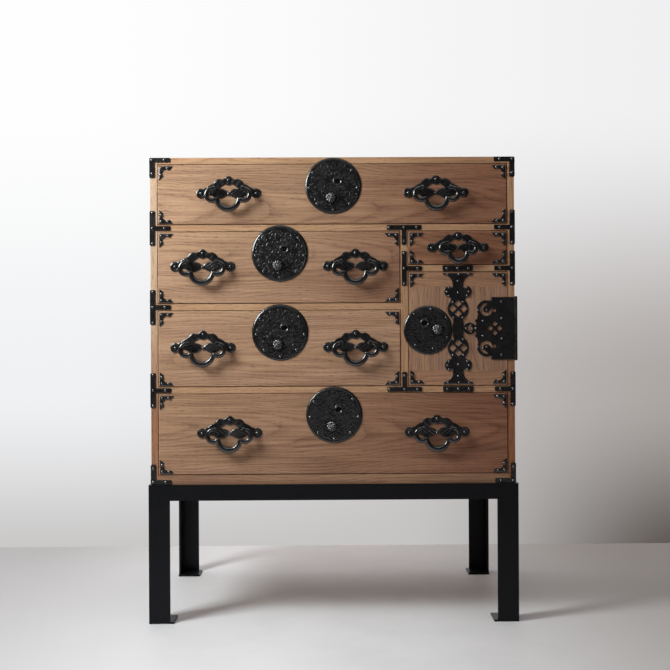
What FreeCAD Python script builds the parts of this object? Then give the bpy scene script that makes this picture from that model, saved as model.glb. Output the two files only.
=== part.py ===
import FreeCAD, Part
import math
import os
from collections import namedtuple
from FreeCAD import Vector

# A small Japanese storage chest of five drawers and one hinged door, standing on a low steel stand.
# Millimetres. The front faces -Y, +X is to the right, +Z is up and z = 0 is the floor under the feet.
# The origin is the middle of the whole chest's footprint, from the handles to the back of the stand.

# ---- carcass ----
case_width = 692.0
case_depth = 400.0
side_thickness = 13.0
top_thickness = 12.0
bottom_thickness = 18.0
shelf_thickness = 12.0
divider_thickness = 14.0
back_thickness = 8.0
back_rebate = 6.0
housing_depth = 4.0
finger_count = 9

# ---- clear openings of the front, from the floor of the case upwards ----
bottom_opening = 155.0
lower_left_opening = 146.0
upper_left_opening = 138.0
top_opening = 116.0
small_opening = 66.0
right_opening_width = 190.0

# ---- stand ----
stand_height = 263.0
stand_ledge = 5.0
angle_wall = 4.0
rail_height = 30.0
rail_flange = 30.0
leg_flange = 40.0
foot_size = 47.0
foot_thickness = 4.0

# ---- drawers ----
front_thickness = 20.0
face_proud = 0.5
edge_bevel = 1.0
side_gap = 1.2
top_gap = 1.8
running_gap = 0.3
drawer_rear_gap = 6.0
drawer_wall = 9.0
drawer_floor = 6.0
drawer_floor_groove = 5.0
drawer_wall_drop = 4.0
wide_handle_inset = 136.0
left_handle_inset = 86.0
handle_rise = 2.0

# ---- door ----
door_gap = 1.3
closing_bevel = 1.8
end_rail_height = 28.0
tongue_thickness = 6.0
tongue_length = 10.0

# ---- door hinge ----
hinge_side_offset = 2.0
hinge_front_offset = 2.7
knuckle_radius = 3.0
knuckle_gap = 0.4
hinge_pin_radius = 1.5
hinge_pin_clearance = 0.05
hinge_pin_head = 1.5
hinge_pin_head_radius = 2.6
hinge_plate_height = 118.8
hinge_plate_reach = 79.0
hinge_side_leaf_depth = 22.0
hinge_side_leaf_start = 1.0
knuckle_lap = 1.0

# ---- ironwork ----
iron_thickness = 1.6
case_iron_thickness = 1.2
case_iron_width = 9.0
case_iron_half_length = 33.0
case_iron_arm = 38.5
case_iron_side_return = 30.0
case_iron_clip = 1.5
end_strip_length = 58.0
end_strip_height = 11.0
corner_iron_arm = 26.5
corner_iron_inset = 2.5
outline_overlap = 1.0
overcut = 1.0

# ---- the door strap, from its flared ends to its waist, as distances from its middle line and centre ----
strap_edge_inset = 2.0
strap_head_half_width = 28.8
strap_head_height = 22.0
strap_head_lip = 4.0
strap_lip_slope = 1.5
strap_neck_half_width = 10.0
strap_flare_bow = 4.5
strap_flare_drop = 10.0
strap_eye_radius = 3.4
strap_eye_offset = 13.2
strap_eye_drop = 24.5
scroll_radius = 11.8
scroll_offset = 14.0
scroll_rise = 70.0
scroll_seat = 60.0
lattice_high = 54.0
lattice_low = 17.0
lattice_top_half_width = 13.0
lattice_bottom_half_width = 9.0
lattice_swell = 20.0
lattice_eye_half_width = 7.0
lattice_eye_half_height = 6.2
lattice_eye_offset = 10.4
lattice_eye_step = 9.5
waist_half_width = 10.5
waist_half_height = 8.0

# ---- the pierced hinge plate: places are shares of its reach and half height, sizes are lengths ----
leaf_shoulder = (0.582, 1.0)
leaf_corner = ((0.620, 0.933), (0.633, 0.865))
leaf_point = ((0.911, 0.471), (0.949, 0.168))
leaf_lobe_place = (0.715, 0.606)
leaf_cusp_place = (0.930, 0.236)
leaf_eye_place = (0.519, 0.572)
leaf_diamond_place = (0.506, 0.0)
leaf_lobe_radius = 17.5
leaf_cusp_radius = 4.0
leaf_eye_radius = 3.2
leaf_diamond_half_width = 5.2
leaf_diamond_offset = 8.6
crescent_radius = 12.2
crescent_core_radius = 6.4
crescent_core_shift = 0.5
crescent_neck_half_width = 4.2
crescent_neck_start = 2.0
crescent_neck_end = 19.0
link_ring_wall = 5.2
link_ring_overlap = 2.0

# ---- outlines of the cusped corner iron and the handle plate, as shares of their own reach ----
corner_spur = (0.76, 0.30)
corner_root = (0.62, 0.22)
corner_notch = (0.33, 0.33)
crown_top = (0.0, 1.0)
crown_end = (0.11, 0.90)
plate_arcs = [
    ((0.39, 0.82), (0.545, 0.565)),
    ((0.705, 0.45), (0.867, 0.194)),
    ((1.177, 0.0), (0.867, -0.194)),
    ((0.72, -0.12), (0.58, -0.15)),
    ((0.33, -0.30), (0.03, -0.045)),
]
almond_tip = (0.333, 0.267)
almond_top = (0.0, 0.54)
almond_foot = ((0.17, 0.245), (0.023, 0.067))

# ---- round locks ----
lock_plate_radius = 52.0
door_lock_plate_radius = 46.5
lock_plate_bevel = 0.8
lock_drop = 42.5
bottom_lock_drop = 40.0
collar_aside = 10.5
collar_rise = 8.5
button_aside = -3.0
button_rise = -23.0
door_lock_inset = 36.4
door_lock_rise = -2.7
door_collar_aside = -5.5
door_collar_rise = 13.5
door_button_aside = 17.5
door_button_rise = 1.5
collar_radius = 8.0
collar_height = 1.5
keyhole_radius = 4.75
key_pin_radius = 1.5
button_radius = 9.0
button_rim = 2.0
button_dome = 3.0
button_shoulder = (0.72, 0.6)
button_crown = 0.35
button_stem_width = 4.6
button_travel = 3.0
stop_gap = 0.3
lock_case_width = 50.0
lock_case_thickness = 12.0
lock_case_below = 32.0
door_lock_case_setback = 4.7
door_lock_case_length = 62.0
bolt_width = 16.0
bolt_thickness = 6.0
bolt_length = 26.0
bolt_throw = 6.0
door_bolt_throw = 12.0
bolt_clearance = 0.3
mortise_clearance = 0.8

# ---- drop handles ----
large_end_span = 52.5
large_crown_height = 33.0
large_post_span = 27.0
large_cusp_span = 20.5
large_lobe_radius = 12.0
large_bail_drop = 30.5
small_end_span = 49.8
small_crown_height = 30.5
small_post_span = 21.5
small_cusp_span = 16.5
small_lobe_radius = 10.0
small_bail_drop = 26.0
pivot_rise = 8.0
pivot_reach = 12.0
eye_radius = 4.6
eye_width = 4.4
eye_side_clearance = 0.3
bail_pin_radius = 2.2
bail_pin_clearance = 0.08
bail_pin_overrun = 2.0
bail_radius = 3.9
bow_radius = 4.6
bar_sides = 8
cusp_overrun = 9.0
shank_width = 3.6
shank_clearance = 0.2
clinch_length = 16.0
clinch_thickness = 1.6

# ---- positions worked out from the sizes above ----
half_width = case_width / 2
inner_half = half_width - side_thickness
bottom_row = stand_height + bottom_thickness
lower_shelf_z = bottom_row + bottom_opening
lower_left_row = lower_shelf_z + shelf_thickness
middle_shelf_z = lower_left_row + lower_left_opening
upper_left_row = middle_shelf_z + shelf_thickness
upper_shelf_z = upper_left_row + upper_left_opening
top_row = upper_shelf_z + shelf_thickness
top_board_z = top_row + top_opening
case_top = top_board_z + top_thickness
small_row = upper_shelf_z - small_opening
door_shelf_z = small_row - shelf_thickness
divider_right = inner_half - right_opening_width
divider_left = divider_right - divider_thickness

front_reach = face_proud + iron_thickness + pivot_reach + max(eye_radius, bow_radius)
case_front = -case_depth / 2 + (front_reach - stand_ledge) / 2
case_back = case_front + case_depth
panel_front = case_back - back_thickness
face = case_front - face_proud
pivot_y = face - iron_thickness - pivot_reach

door_left = divider_right + door_gap
door_right = inner_half - door_gap
door_low = lower_left_row + running_gap + door_gap
door_high = door_shelf_z - door_gap
door_middle_x = (door_left + door_right) / 2
door_middle_z = (door_low + door_high) / 2
door_back = face + front_thickness
hinge_x = half_width + hinge_side_offset
hinge_y = case_front - hinge_front_offset

collar_offset = (collar_aside, collar_rise)
button_offset = (button_aside, button_rise)
door_collar_offset = (door_collar_aside, door_collar_rise)
door_button_offset = (door_button_aside, door_button_rise)
door_lock_x = door_left + door_lock_inset
door_lock_z = door_middle_z + door_lock_rise

CENTRE = Vector(0, 0, 0)
X_AXIS = Vector(1, 0, 0)
Y_AXIS = Vector(0, 1, 0)
Z_AXIS = Vector(0, 0, 1)

Drawer = namedtuple("Drawer", "name left right low high handles style lock_x lock_z")
Handle = namedtuple("Handle", "end_span crown_height post_span cusp_span lobe_radius bail_drop")
large_handle = Handle(large_end_span, large_crown_height, large_post_span, large_cusp_span,
                      large_lobe_radius, large_bail_drop)
small_handle = Handle(small_end_span, small_crown_height, small_post_span, small_cusp_span,
                      small_lobe_radius, small_bail_drop)


# ---- shape helpers ----
def block(x_low, x_high, y_low, y_high, z_low, z_high):
    """A square-edged board between two corners."""
    return Part.makeBox(x_high - x_low, y_high - y_low, z_high - z_low, Vector(x_low, y_low, z_low))


def rod(start, end, radius):
    """A round bar from one point to another."""
    run = end - start
    return Part.makeCylinder(radius, run.Length, start, run)


def square_bar(x, z, width, start, end):
    """A square bar running from front to back."""
    half = width / 2
    return block(x - half, x + half, start, end, z - half, z + half)


def fused(shapes):
    """Several overlapping solids as one, without the seams between them."""
    first, *rest = shapes
    if not rest:
        return first
    return first.multiFuse(rest).removeSplitter()


def cut_all(body, tools):
    """A solid with every tool taken out of it."""
    for tool in tools:
        body = body.cut(tool)
    return body


def polygon(points):
    """A flat face in the XZ plane with straight sides."""
    corners = [Vector(x, 0, z) for x, z in points]
    return Part.Face(Part.makePolygon(corners + corners[:1]))


def curved(start, *steps):
    """A flat face in the XZ plane. A step is a corner, or a pair of points that an arc runs through."""
    edges = []
    here = Vector(start[0], 0, start[1])
    for step in steps:
        if isinstance(step[0], tuple):
            via, end = (Vector(x, 0, z) for x, z in step)
            edges.append(Part.Arc(here, via, end).toShape())
        else:
            end = Vector(step[0], 0, step[1])
            edges.append(Part.makeLine(here, end))
        here = end
    return Part.Face(Part.Wire(edges))


def disc(x, z, radius):
    """A round flat face in the XZ plane."""
    return Part.Face(Part.Wire(Part.makeCircle(radius, Vector(x, 0, z), Y_AXIS)))


def diamond(x, z, half_width_x, half_height_z):
    """A flat face standing on its point."""
    return polygon([
        (x - half_width_x, z), (x, z + half_height_z), (x + half_width_x, z), (x, z - half_height_z)])


def strip(x_low, x_high, z_low, z_high):
    """A flat bar of a case iron, with its four corners clipped."""
    clip = case_iron_clip
    return polygon([
        (x_low + clip, z_low), (x_high - clip, z_low), (x_high, z_low + clip), (x_high, z_high - clip),
        (x_high - clip, z_high), (x_low + clip, z_high), (x_low, z_high - clip), (x_low, z_low + clip)])


def plate(faces, holes, thickness, back_y):
    """Sheet iron lying on a front: flat faces joined, pierced, and standing forward of back_y."""
    forward = Vector(0, -thickness, 0)
    sheet = fused([flat.extrude(forward) for flat in faces])
    sheet = cut_all(sheet, [hole.extrude(forward) for hole in holes])
    sheet.translate(Vector(0, back_y, 0))
    return sheet


def mirrored(faces, normal):
    """The same flat faces on both sides of the middle."""
    return faces + [flat.mirror(CENTRE, normal) for flat in faces]


def scaled(points, reach, height):
    """Outline points given as shares, in millimetres. A point may also be a pair for an arc."""
    return [tuple(scaled(point, reach, height)) if isinstance(point[0], tuple)
            else (point[0] * reach, point[1] * height) for point in points]


def flipped(points, x_sign, z_sign):
    """Outline points turned over to another side of the middle."""
    return scaled(points, x_sign, z_sign)


def placed(shape, x, z):
    """A copy of a shape moved along the front."""
    moved = shape.copy()
    moved.translate(Vector(x, 0, z))
    return moved


def write(name, shapes):
    """Save one named piece, which may be a group of separate solids."""
    solids = [solid for shape in shapes for solid in shape.Solids]
    Part.makeCompound(solids).exportStep(os.path.join("parts", name + ".step"))


# ---- carcass of boards, finger-jointed at the corners and housed at the shelves ----
def finger_blocks(x_low, x_high, z_low, z_high, first):
    """Every other finger of a corner joint, counted from the front."""
    pitch = case_depth / finger_count
    return [
        block(x_low, x_high, case_front + i * pitch, case_front + (i + 1) * pitch, z_low, z_high)
        for i in range(first, finger_count, 2)]


def corner_fingers(z_low, z_high, first):
    """The fingers at both ends of the top or the bottom board."""
    return (finger_blocks(-half_width, -inner_half, z_low, z_high, first)
            + finger_blocks(inner_half, half_width, z_low, z_high, first))


def shelf(x_low, x_high, z):
    """A full-depth shelf that a drawer runs on."""
    return block(x_low, x_high, case_front, panel_front, z, z + shelf_thickness)


def make_carcass():
    """The nine boards of the case, each cut where another one is let into it."""
    back = block(-inner_half - back_rebate, inner_half + back_rebate, panel_front, case_back,
                 bottom_row - back_rebate, top_board_z + back_rebate)
    let_in = inner_half + housing_depth
    upper = shelf(-let_in, let_in, upper_shelf_z)
    lower = shelf(-let_in, let_in, lower_shelf_z)
    middle = shelf(-let_in, divider_left + housing_depth, middle_shelf_z)
    door_shelf = shelf(divider_right - housing_depth, let_in, door_shelf_z)
    divider = block(divider_left, divider_right, case_front, panel_front,
                    lower_left_row - housing_depth, upper_shelf_z + housing_depth)
    side = block(-half_width, -inner_half, case_front, case_back, stand_height, case_top)
    other_side = block(inner_half, half_width, case_front, case_back, stand_height, case_top)
    top = block(-half_width, half_width, case_front, case_back, top_board_z, case_top)
    bottom = block(-half_width, half_width, case_front, case_back, stand_height, bottom_row)
    board_fingers = corner_fingers(top_board_z, case_top, 1) + corner_fingers(stand_height, bottom_row, 1)
    boards = {
        "left_side_board": cut_all(side, board_fingers + [back, upper, middle, lower]),
        "right_side_board": cut_all(other_side, board_fingers + [back, upper, door_shelf, lower]),
        "top_board": cut_all(top, corner_fingers(top_board_z, case_top, 0) + [back]),
        "bottom_board": cut_all(bottom, corner_fingers(stand_height, bottom_row, 0) + [back]),
        "back_panel": back,
        "upper_shelf": upper.cut(divider),
        "middle_shelf": middle,
        "door_shelf": door_shelf,
        "lower_shelf": lower.cut(divider),
        "upright_divider": cut_all(divider, [middle, door_shelf]),
    }
    carriers = {
        "top_drawer": "top_board",
        "upper_left_drawer": "upper_shelf",
        "lower_left_drawer": "middle_shelf",
        "bottom_drawer": "lower_shelf",
    }
    for drawer in drawers:
        if drawer.name in carriers:
            carrier = carriers[drawer.name]
            boards[carrier] = boards[carrier].cut(drawer_mortise(drawer))
    boards["upright_divider"] = boards["upright_divider"].cut(door_mortise())
    return boards


# ---- the steel stand ----
def make_stand():
    """A ring of angle iron with four angle legs, each closed by a flat foot."""
    outer_x = half_width + stand_ledge
    front_y = case_front - stand_ledge
    back_y = case_back + stand_ledge
    rail_low = stand_height - rail_height

    def ring(inset, z_low, z_high):
        return block(-outer_x + inset, outer_x - inset, front_y + inset, back_y - inset, z_low, z_high)

    frame = ring(0, rail_low, stand_height)
    frame = frame.cut(ring(angle_wall, rail_low, stand_height - angle_wall))
    frame = frame.cut(ring(rail_flange, rail_low, stand_height))
    leg = block(0, leg_flange, 0, leg_flange, foot_thickness, rail_low)
    leg = leg.cut(block(angle_wall, leg_flange, angle_wall, leg_flange, foot_thickness, rail_low))
    leg = leg.fuse(block(0, foot_size, 0, foot_size, 0, foot_thickness)).removeSplitter()
    legs = []
    for x, y, turn in ((-outer_x, front_y, 0), (outer_x, front_y, 90),
                       (outer_x, back_y, 180), (-outer_x, back_y, 270)):
        turned = leg.copy()
        turned.rotate(CENTRE, Z_AXIS, turn)
        turned.translate(Vector(x, y, 0))
        legs.append(turned)
    return {"stand_frame": [frame], "stand_legs": legs}


# ---- irons nailed over the joints of the case ----
def make_case_irons():
    """Corner, tee and strip irons on the front edges, with a return round each side."""
    width = case_iron_width
    half = case_iron_half_length
    outer = half_width + case_iron_thickness
    shelf_line = shelf_thickness / 2
    irons = []

    def lay(faces):
        irons.append(plate(faces, [], case_iron_thickness, case_front))

    def side_iron(sign, z_low, z_high, arm_z):
        """An upright strip on a side board's edge with one arm along the shelf, bent round the side."""
        inner, reach = sign * (half_width - width), sign * (half_width - case_iron_arm)
        edge = sign * outer
        upright = strip(min(edge, inner), max(edge, inner), z_low, z_high)
        arm = strip(min(edge, reach), max(edge, reach), arm_z - width / 2, arm_z + width / 2)
        front = plate([upright, arm], [], case_iron_thickness, case_front)
        wrap = block(min(edge, sign * half_width), max(edge, sign * half_width),
                     case_front - case_iron_thickness, case_front + case_iron_side_return,
                     z_low + case_iron_clip, z_high - case_iron_clip)
        irons.append(fused([front, wrap]))

    for sign, rows in ((-1, (upper_shelf_z, middle_shelf_z, lower_shelf_z)),
                       (1, (upper_shelf_z, door_shelf_z, lower_shelf_z))):
        for z in rows:
            side_iron(sign, z + shelf_line - half, z + shelf_line + half, z + shelf_line)
        side_iron(sign, case_top - case_iron_arm, case_top, case_top - width / 2)
        side_iron(sign, stand_height, stand_height + case_iron_arm, stand_height + width / 2)

    middle = (divider_left + divider_right) / 2
    leg_low, leg_high = middle - width / 2, middle + width / 2
    for z, leg_start, leg_end in (
            (upper_shelf_z, upper_shelf_z + shelf_line - half, upper_shelf_z + shelf_line),
            (lower_shelf_z, lower_shelf_z + shelf_line, lower_shelf_z + shelf_line + half)):
        bar = strip(middle - half, middle + half, z + shelf_line - width / 2, z + shelf_line + width / 2)
        lay([bar, strip(leg_low, leg_high, leg_start, leg_end)])
    arm_z = door_shelf_z + shelf_line
    lay([strip(leg_low, leg_high, arm_z - half, arm_z + half),
         strip(leg_low, leg_low + case_iron_arm, arm_z - width / 2, arm_z + width / 2)])
    for z in (door_shelf_z, lower_shelf_z):
        lay([strip(door_middle_x - end_strip_length / 2, door_middle_x + end_strip_length / 2,
                   z + shelf_line - end_strip_height / 2, z + shelf_line + end_strip_height / 2)])
    return irons


# ---- cusped corner irons ----
def corner_iron(x_sign, z_sign):
    """A bracket with pointed arms and a round notch, its outer corner at the origin."""
    shares = [(0, 0), (1, 0), corner_spur, corner_root, (corner_notch, corner_root[::-1]),
              corner_spur[::-1], (0, 1), (0, 0)]
    return curved(*scaled(shares, x_sign * corner_iron_arm, z_sign * corner_iron_arm))


def corner_irons(left, right, low, high):
    """The four brackets of a drawer front or a door."""
    irons = []
    for x, x_sign in ((left + corner_iron_inset, 1), (right - corner_iron_inset, -1)):
        for z, z_sign in ((low + corner_iron_inset, 1), (high - corner_iron_inset, -1)):
            irons.append(plate([placed(corner_iron(x_sign, z_sign), x, z)], [], iron_thickness, face))
    return irons


# ---- drop handles ----
def handle_plate(style):
    """A crowned backplate: round ends, rising lobes, an almond opening and two leaves below it."""
    def at(points):
        return scaled(points, style.end_span, style.crown_height)

    def other_side(points):
        return flipped(points, -1, 1)

    right = at([(crown_top, crown_end)] + plate_arcs)
    left_ends = other_side([end for via, end in right])
    left_middles = other_side([via for via, end in right])
    left = [(left_middles[i], left_ends[i - 1]) for i in range(len(right) - 1, 0, -1)]
    outline = curved(left_ends[0], *right, left_ends[-1], *left)
    tip, top, foot = at([almond_tip, almond_top, almond_foot])
    left_tip, left_foot = other_side([tip, foot])
    almond = curved(left_tip, (top, tip), foot, left_foot[1], (left_foot[0], left_tip))
    sheet = plate([outline], [almond], iron_thickness, face)
    return cut_all(sheet, [shank_hole(x, pivot_rise) for x in (-style.post_span, style.post_span)])


def shank_hole(x, z):
    """The square hole for a handle's shank, through its plate and the wood."""
    return square_bar(x, z, shank_width + 2 * shank_clearance,
                      face - iron_thickness - overcut, face + front_thickness + overcut)


def bar_section(centre, across, up, radius):
    """The many-sided section of a forged bar, its flats one radius from the centre."""
    corner = radius / math.cos(math.pi / bar_sides)
    turns = [math.pi * (2 * i + 1) / bar_sides for i in range(bar_sides)]
    corners = [centre + across * (corner * math.cos(turn)) + up * (corner * math.sin(turn)) for turn in turns]
    return Part.Face(Part.makePolygon(corners + corners[:1]))


def handle_post(x):
    """An eye on a square shank that goes through the wood and is clinched behind it."""
    back = face + front_thickness
    pivot = Vector(x - eye_width / 2, pivot_y, pivot_rise)
    eye = bar_section(pivot, Y_AXIS, Z_AXIS, eye_radius).extrude(X_AXIS * eye_width)
    shank = square_bar(x, pivot_rise, shank_width, pivot_y, back + clinch_thickness)
    clinch = block(x - shank_width / 2, x + shank_width / 2, back, back + clinch_thickness,
                   pivot_rise - clinch_length / 2, pivot_rise + clinch_length / 2)
    bore = rod(Vector(x - eye_width, pivot_y, pivot_rise), Vector(x + eye_width, pivot_y, pivot_rise),
               bail_pin_radius + bail_pin_clearance)
    return fused([eye, shank, clinch]).cut(bore)


def forged_arc(centre_x, centre_z, bend_radius, bar_radius, start_angle, sweep):
    """A forged bar bent to an arc in the plane of the handle, angles from +X towards +Z."""
    angle = math.radians(start_angle)
    outward = Vector(math.cos(angle), 0, math.sin(angle))
    centre = Vector(centre_x, pivot_y, centre_z)
    section = bar_section(centre + outward * bend_radius, outward, Y_AXIS, bar_radius)
    return section.revolve(centre, -Y_AXIS, sweep)


def bail(style):
    """The loose pull: two pins, two side lobes that end in cusps and a thicker middle bow."""
    start = style.post_span + eye_width / 2 + eye_side_clearance
    lobe_z = pivot_rise - style.lobe_radius
    lobe_angle = math.acos((style.cusp_span - start) / style.lobe_radius)
    cusp_z = lobe_z - style.lobe_radius * math.sin(lobe_angle)
    depth = cusp_z + style.bail_drop
    bow_bend = (style.cusp_span ** 2 + depth ** 2) / (2 * depth)
    bow_z = bow_bend - style.bail_drop
    bow_half_angle = math.degrees(math.asin(style.cusp_span / bow_bend)) + cusp_overrun
    if depth > bow_bend:
        bow_half_angle = 180 + 2 * cusp_overrun - bow_half_angle
    lobe_sweep = 90 + math.degrees(lobe_angle)
    pieces = [forged_arc(0, bow_z, bow_bend, bow_radius, -90 - bow_half_angle, 2 * bow_half_angle)]
    for sign in (-1, 1):
        inner = Vector(sign * (style.post_span - eye_width / 2 - bail_pin_overrun), pivot_y, pivot_rise)
        outer = Vector(sign * (start + bail_radius), pivot_y, pivot_rise)
        pieces.append(rod(inner, outer, bail_pin_radius))
        pieces.append(forged_arc(sign * start, lobe_z, style.lobe_radius, bail_radius,
                                 90, -sign * lobe_sweep))
    return fused(pieces)


# ---- round locks ----
def lock_plate(radius, collar, button):
    """A disc with a bevelled edge, a collar round the keyhole and a hole for the push button."""
    profile = Part.Face(Part.makePolygon([
        CENTRE, Vector(radius, 0, 0), Vector(radius, lock_plate_bevel - iron_thickness, 0),
        Vector(radius - lock_plate_bevel, -iron_thickness, 0), Vector(0, -iron_thickness, 0), CENTRE]))
    round_plate = profile.revolve(CENTRE, Y_AXIS, 360)
    round_plate.translate(Vector(0, face, 0))
    x, z = collar
    front = face - iron_thickness - collar_height
    ring = rod(Vector(x, face, z), Vector(x, front, z), collar_radius)
    return cut_all(fused([round_plate, ring]), lock_core(collar, button))


def lock_button(x, z):
    """A domed rosette head on a stem that reaches the lock through the plate and the wood."""
    seat = face - iron_thickness - stop_gap - button_travel
    rim = seat - button_rim
    crown = rim - button_dome
    shoulder_x = button_shoulder[0] * button_radius
    shoulder_y = rim - button_shoulder[1] * button_dome
    stem_end = face + front_thickness + lock_case_thickness / 2 - button_travel - stop_gap
    profile = Part.Face(Part.makePolygon([
        Vector(0, seat, 0), Vector(button_radius, seat, 0), Vector(button_radius, rim, 0),
        Vector(shoulder_x, shoulder_y, 0), Vector(button_crown * button_radius, crown, 0),
        Vector(0, crown, 0), Vector(0, seat, 0)]))
    head = placed(profile.revolve(CENTRE, Y_AXIS, 360), x, z)
    return fused([head, square_bar(x, z, button_stem_width, seat - button_rim / 2, stem_end)])


def stem_hole(button, start, end):
    """The square way through for a push button's stem."""
    return square_bar(button[0], button[1], button_stem_width + 2 * stop_gap, start, end)


def lock_core(collar, button):
    """What the lock takes out of its plate and the wood: the keyhole and the button's way through."""
    start = face - iron_thickness - collar_height - overcut
    end = face + front_thickness + overcut
    key = rod(Vector(collar[0], start, collar[1]), Vector(collar[0], end, collar[1]), keyhole_radius)
    return [key, stem_hole(button, start, end)]


def lock_case(x_low, x_high, z_low, z_high, collar, button, bolt_pocket):
    """The iron box on the inner face, with the key pin, the bolt's pocket and the button's hole."""
    back = face + front_thickness
    middle = back + lock_case_thickness / 2
    body = block(x_low, x_high, back, back + lock_case_thickness, z_low, z_high)
    pin = rod(Vector(collar[0], face - iron_thickness, collar[1]),
              Vector(collar[0], middle + overcut, collar[1]), key_pin_radius)
    key_well = square_bar(collar[0], collar[1], 2 * keyhole_radius, back - overcut, middle)
    stem_well = stem_hole(button, back - overcut, middle)
    return fused([cut_all(body, [key_well, stem_well, bolt_pocket]), pin])


def bolt_span(clearance):
    """How far a bolt, or its pocket, reaches in depth behind the wood."""
    middle = face + front_thickness + lock_case_thickness / 2
    half = bolt_thickness / 2 + clearance
    return middle - half, middle + half


def drawer_bolt(drawer, clearance, low, high):
    """A bolt-shaped block over a drawer's lock, for the bolt, its pocket or its mortise."""
    y_low, y_high = bolt_span(clearance)
    half = bolt_width / 2 + clearance
    return block(drawer.lock_x - half, drawer.lock_x + half, y_low, y_high, low, high)


def lock_case_top(drawer):
    return drawer.high - top_gap - stop_gap


def drawer_mortise(drawer):
    """The slot in the board above a drawer that its bolt shoots into."""
    return drawer_bolt(drawer, mortise_clearance, drawer.high,
                       lock_case_top(drawer) + bolt_throw + mortise_clearance)


def door_bolt(clearance, left, right):
    """A bolt-shaped block lying across the door's closing edge."""
    y_low, y_high = bolt_span(clearance)
    half = bolt_width / 2 + clearance
    return block(left, right, y_low, y_high, door_lock_z - half, door_lock_z + half)


def door_mortise():
    """The slot in the upright divider that the door's bolt shoots into."""
    reach = door_left + door_lock_case_setback - door_bolt_throw - mortise_clearance
    return door_bolt(mortise_clearance, reach, divider_right)


# ---- drawers ----
def offset(point, x, z):
    return point[0] + x, point[1] + z


def drawer_front(drawer):
    """A thick front, bevelled round its face, lapped for the sides and grooved for the floor."""
    left, right = drawer.left + side_gap, drawer.right - side_gap
    low, high = drawer.low + running_gap, drawer.high - top_gap
    back = face + front_thickness
    front = block(left, right, face, back, low, high)
    ring = [edge for edge in front.Edges if all(abs(v.Y - face) < edge_bevel / 2 for v in edge.Vertexes)]
    front = front.makeChamfer(edge_bevel, ring)
    laps = [block(x, x + drawer_wall, back - drawer_wall, back, low, high)
            for x in (left, right - drawer_wall)]
    groove = block(left, right, back - drawer_floor_groove, back, low, low + drawer_floor)
    holes = [shank_hole(x + sign * drawer.style.post_span, handle_z(drawer) + pivot_rise)
             for x in drawer.handles for sign in (-1, 1)]
    if drawer.lock_x is not None:
        holes += lock_core(offset(collar_offset, drawer.lock_x, drawer.lock_z),
                           offset(button_offset, drawer.lock_x, drawer.lock_z))
    return cut_all(front, laps + [groove] + holes)


def drawer_box(drawer):
    """Two sides, a back and a floor behind the front."""
    left, right = drawer.left + side_gap, drawer.right - side_gap
    low, high = drawer.low + running_gap, drawer.high - top_gap
    back = face + front_thickness
    rear = panel_front - drawer_rear_gap
    wall_top = high - drawer_wall_drop
    walls = [block(x, x + drawer_wall, back - drawer_wall, rear, low + drawer_floor, wall_top)
             for x in (left, right - drawer_wall)]
    end = block(left + drawer_wall, right - drawer_wall, rear - drawer_wall, rear,
                low + drawer_floor, wall_top)
    floor = block(left, right, back - drawer_floor_groove, rear, low, low + drawer_floor)
    return walls + [end, floor]


def handle_z(drawer):
    rise = handle_rise if drawer.lock_x is not None else 0
    return (drawer.low + drawer.high) / 2 + rise


def drawer_irons(drawer):
    """Handle plates, their eyes and the corner brackets of one drawer."""
    irons = corner_irons(drawer.left + side_gap, drawer.right - side_gap,
                         drawer.low + running_gap, drawer.high - top_gap)
    z = handle_z(drawer)
    for x in drawer.handles:
        irons.append(placed(handle_plate(drawer.style), x, z))
        irons += [placed(handle_post(sign * drawer.style.post_span), x, z) for sign in (-1, 1)]
    return irons


def drawer_lock(drawer):
    """The lock plate on the front and the lock case behind it."""
    x, z = drawer.lock_x, drawer.lock_z
    collar = offset(collar_offset, x, z)
    button = offset(button_offset, x, z)
    top = lock_case_top(drawer)
    pocket = drawer_bolt(drawer, bolt_clearance, top - bolt_length - bolt_clearance, top + overcut)
    case = lock_case(x - lock_case_width / 2, x + lock_case_width / 2, z - lock_case_below, top,
                     collar, button, pocket)
    return [placed(lock_plate(lock_plate_radius, collar_offset, button_offset), x, z), case]


def make_drawer(drawer):
    """All the pieces of one drawer, by node name."""
    nodes = {
        drawer.name + "_front": [drawer_front(drawer)],
        drawer.name + "_box": drawer_box(drawer),
        drawer.name + "_irons": drawer_irons(drawer),
    }
    sides = ("left_", "right_") if len(drawer.handles) > 1 else ("",)
    for side, x in zip(sides, drawer.handles):
        nodes[drawer.name + "_" + side + "bail"] = [placed(bail(drawer.style), x, handle_z(drawer))]
    if drawer.lock_x is not None:
        top = lock_case_top(drawer)
        button_x, button_z = offset(button_offset, drawer.lock_x, drawer.lock_z)
        nodes[drawer.name + "_lock"] = drawer_lock(drawer)
        nodes[drawer.name + "_lock_button"] = [lock_button(button_x, button_z)]
        nodes[drawer.name + "_lock_bolt"] = [drawer_bolt(drawer, 0, top - bolt_length, top)]
    return nodes


# ---- door ----
def door_edge_bevel():
    """The wedge planed off the closing edge, so that the door clears the divider as it swings."""
    low, high = door_low, door_high
    corners = [Vector(door_left, face, low), Vector(door_left, door_back, low),
               Vector(door_left + closing_bevel, door_back, low), Vector(door_left, face, low)]
    return Part.Face(Part.makePolygon(corners)).extrude(Vector(0, 0, high - low))


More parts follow.
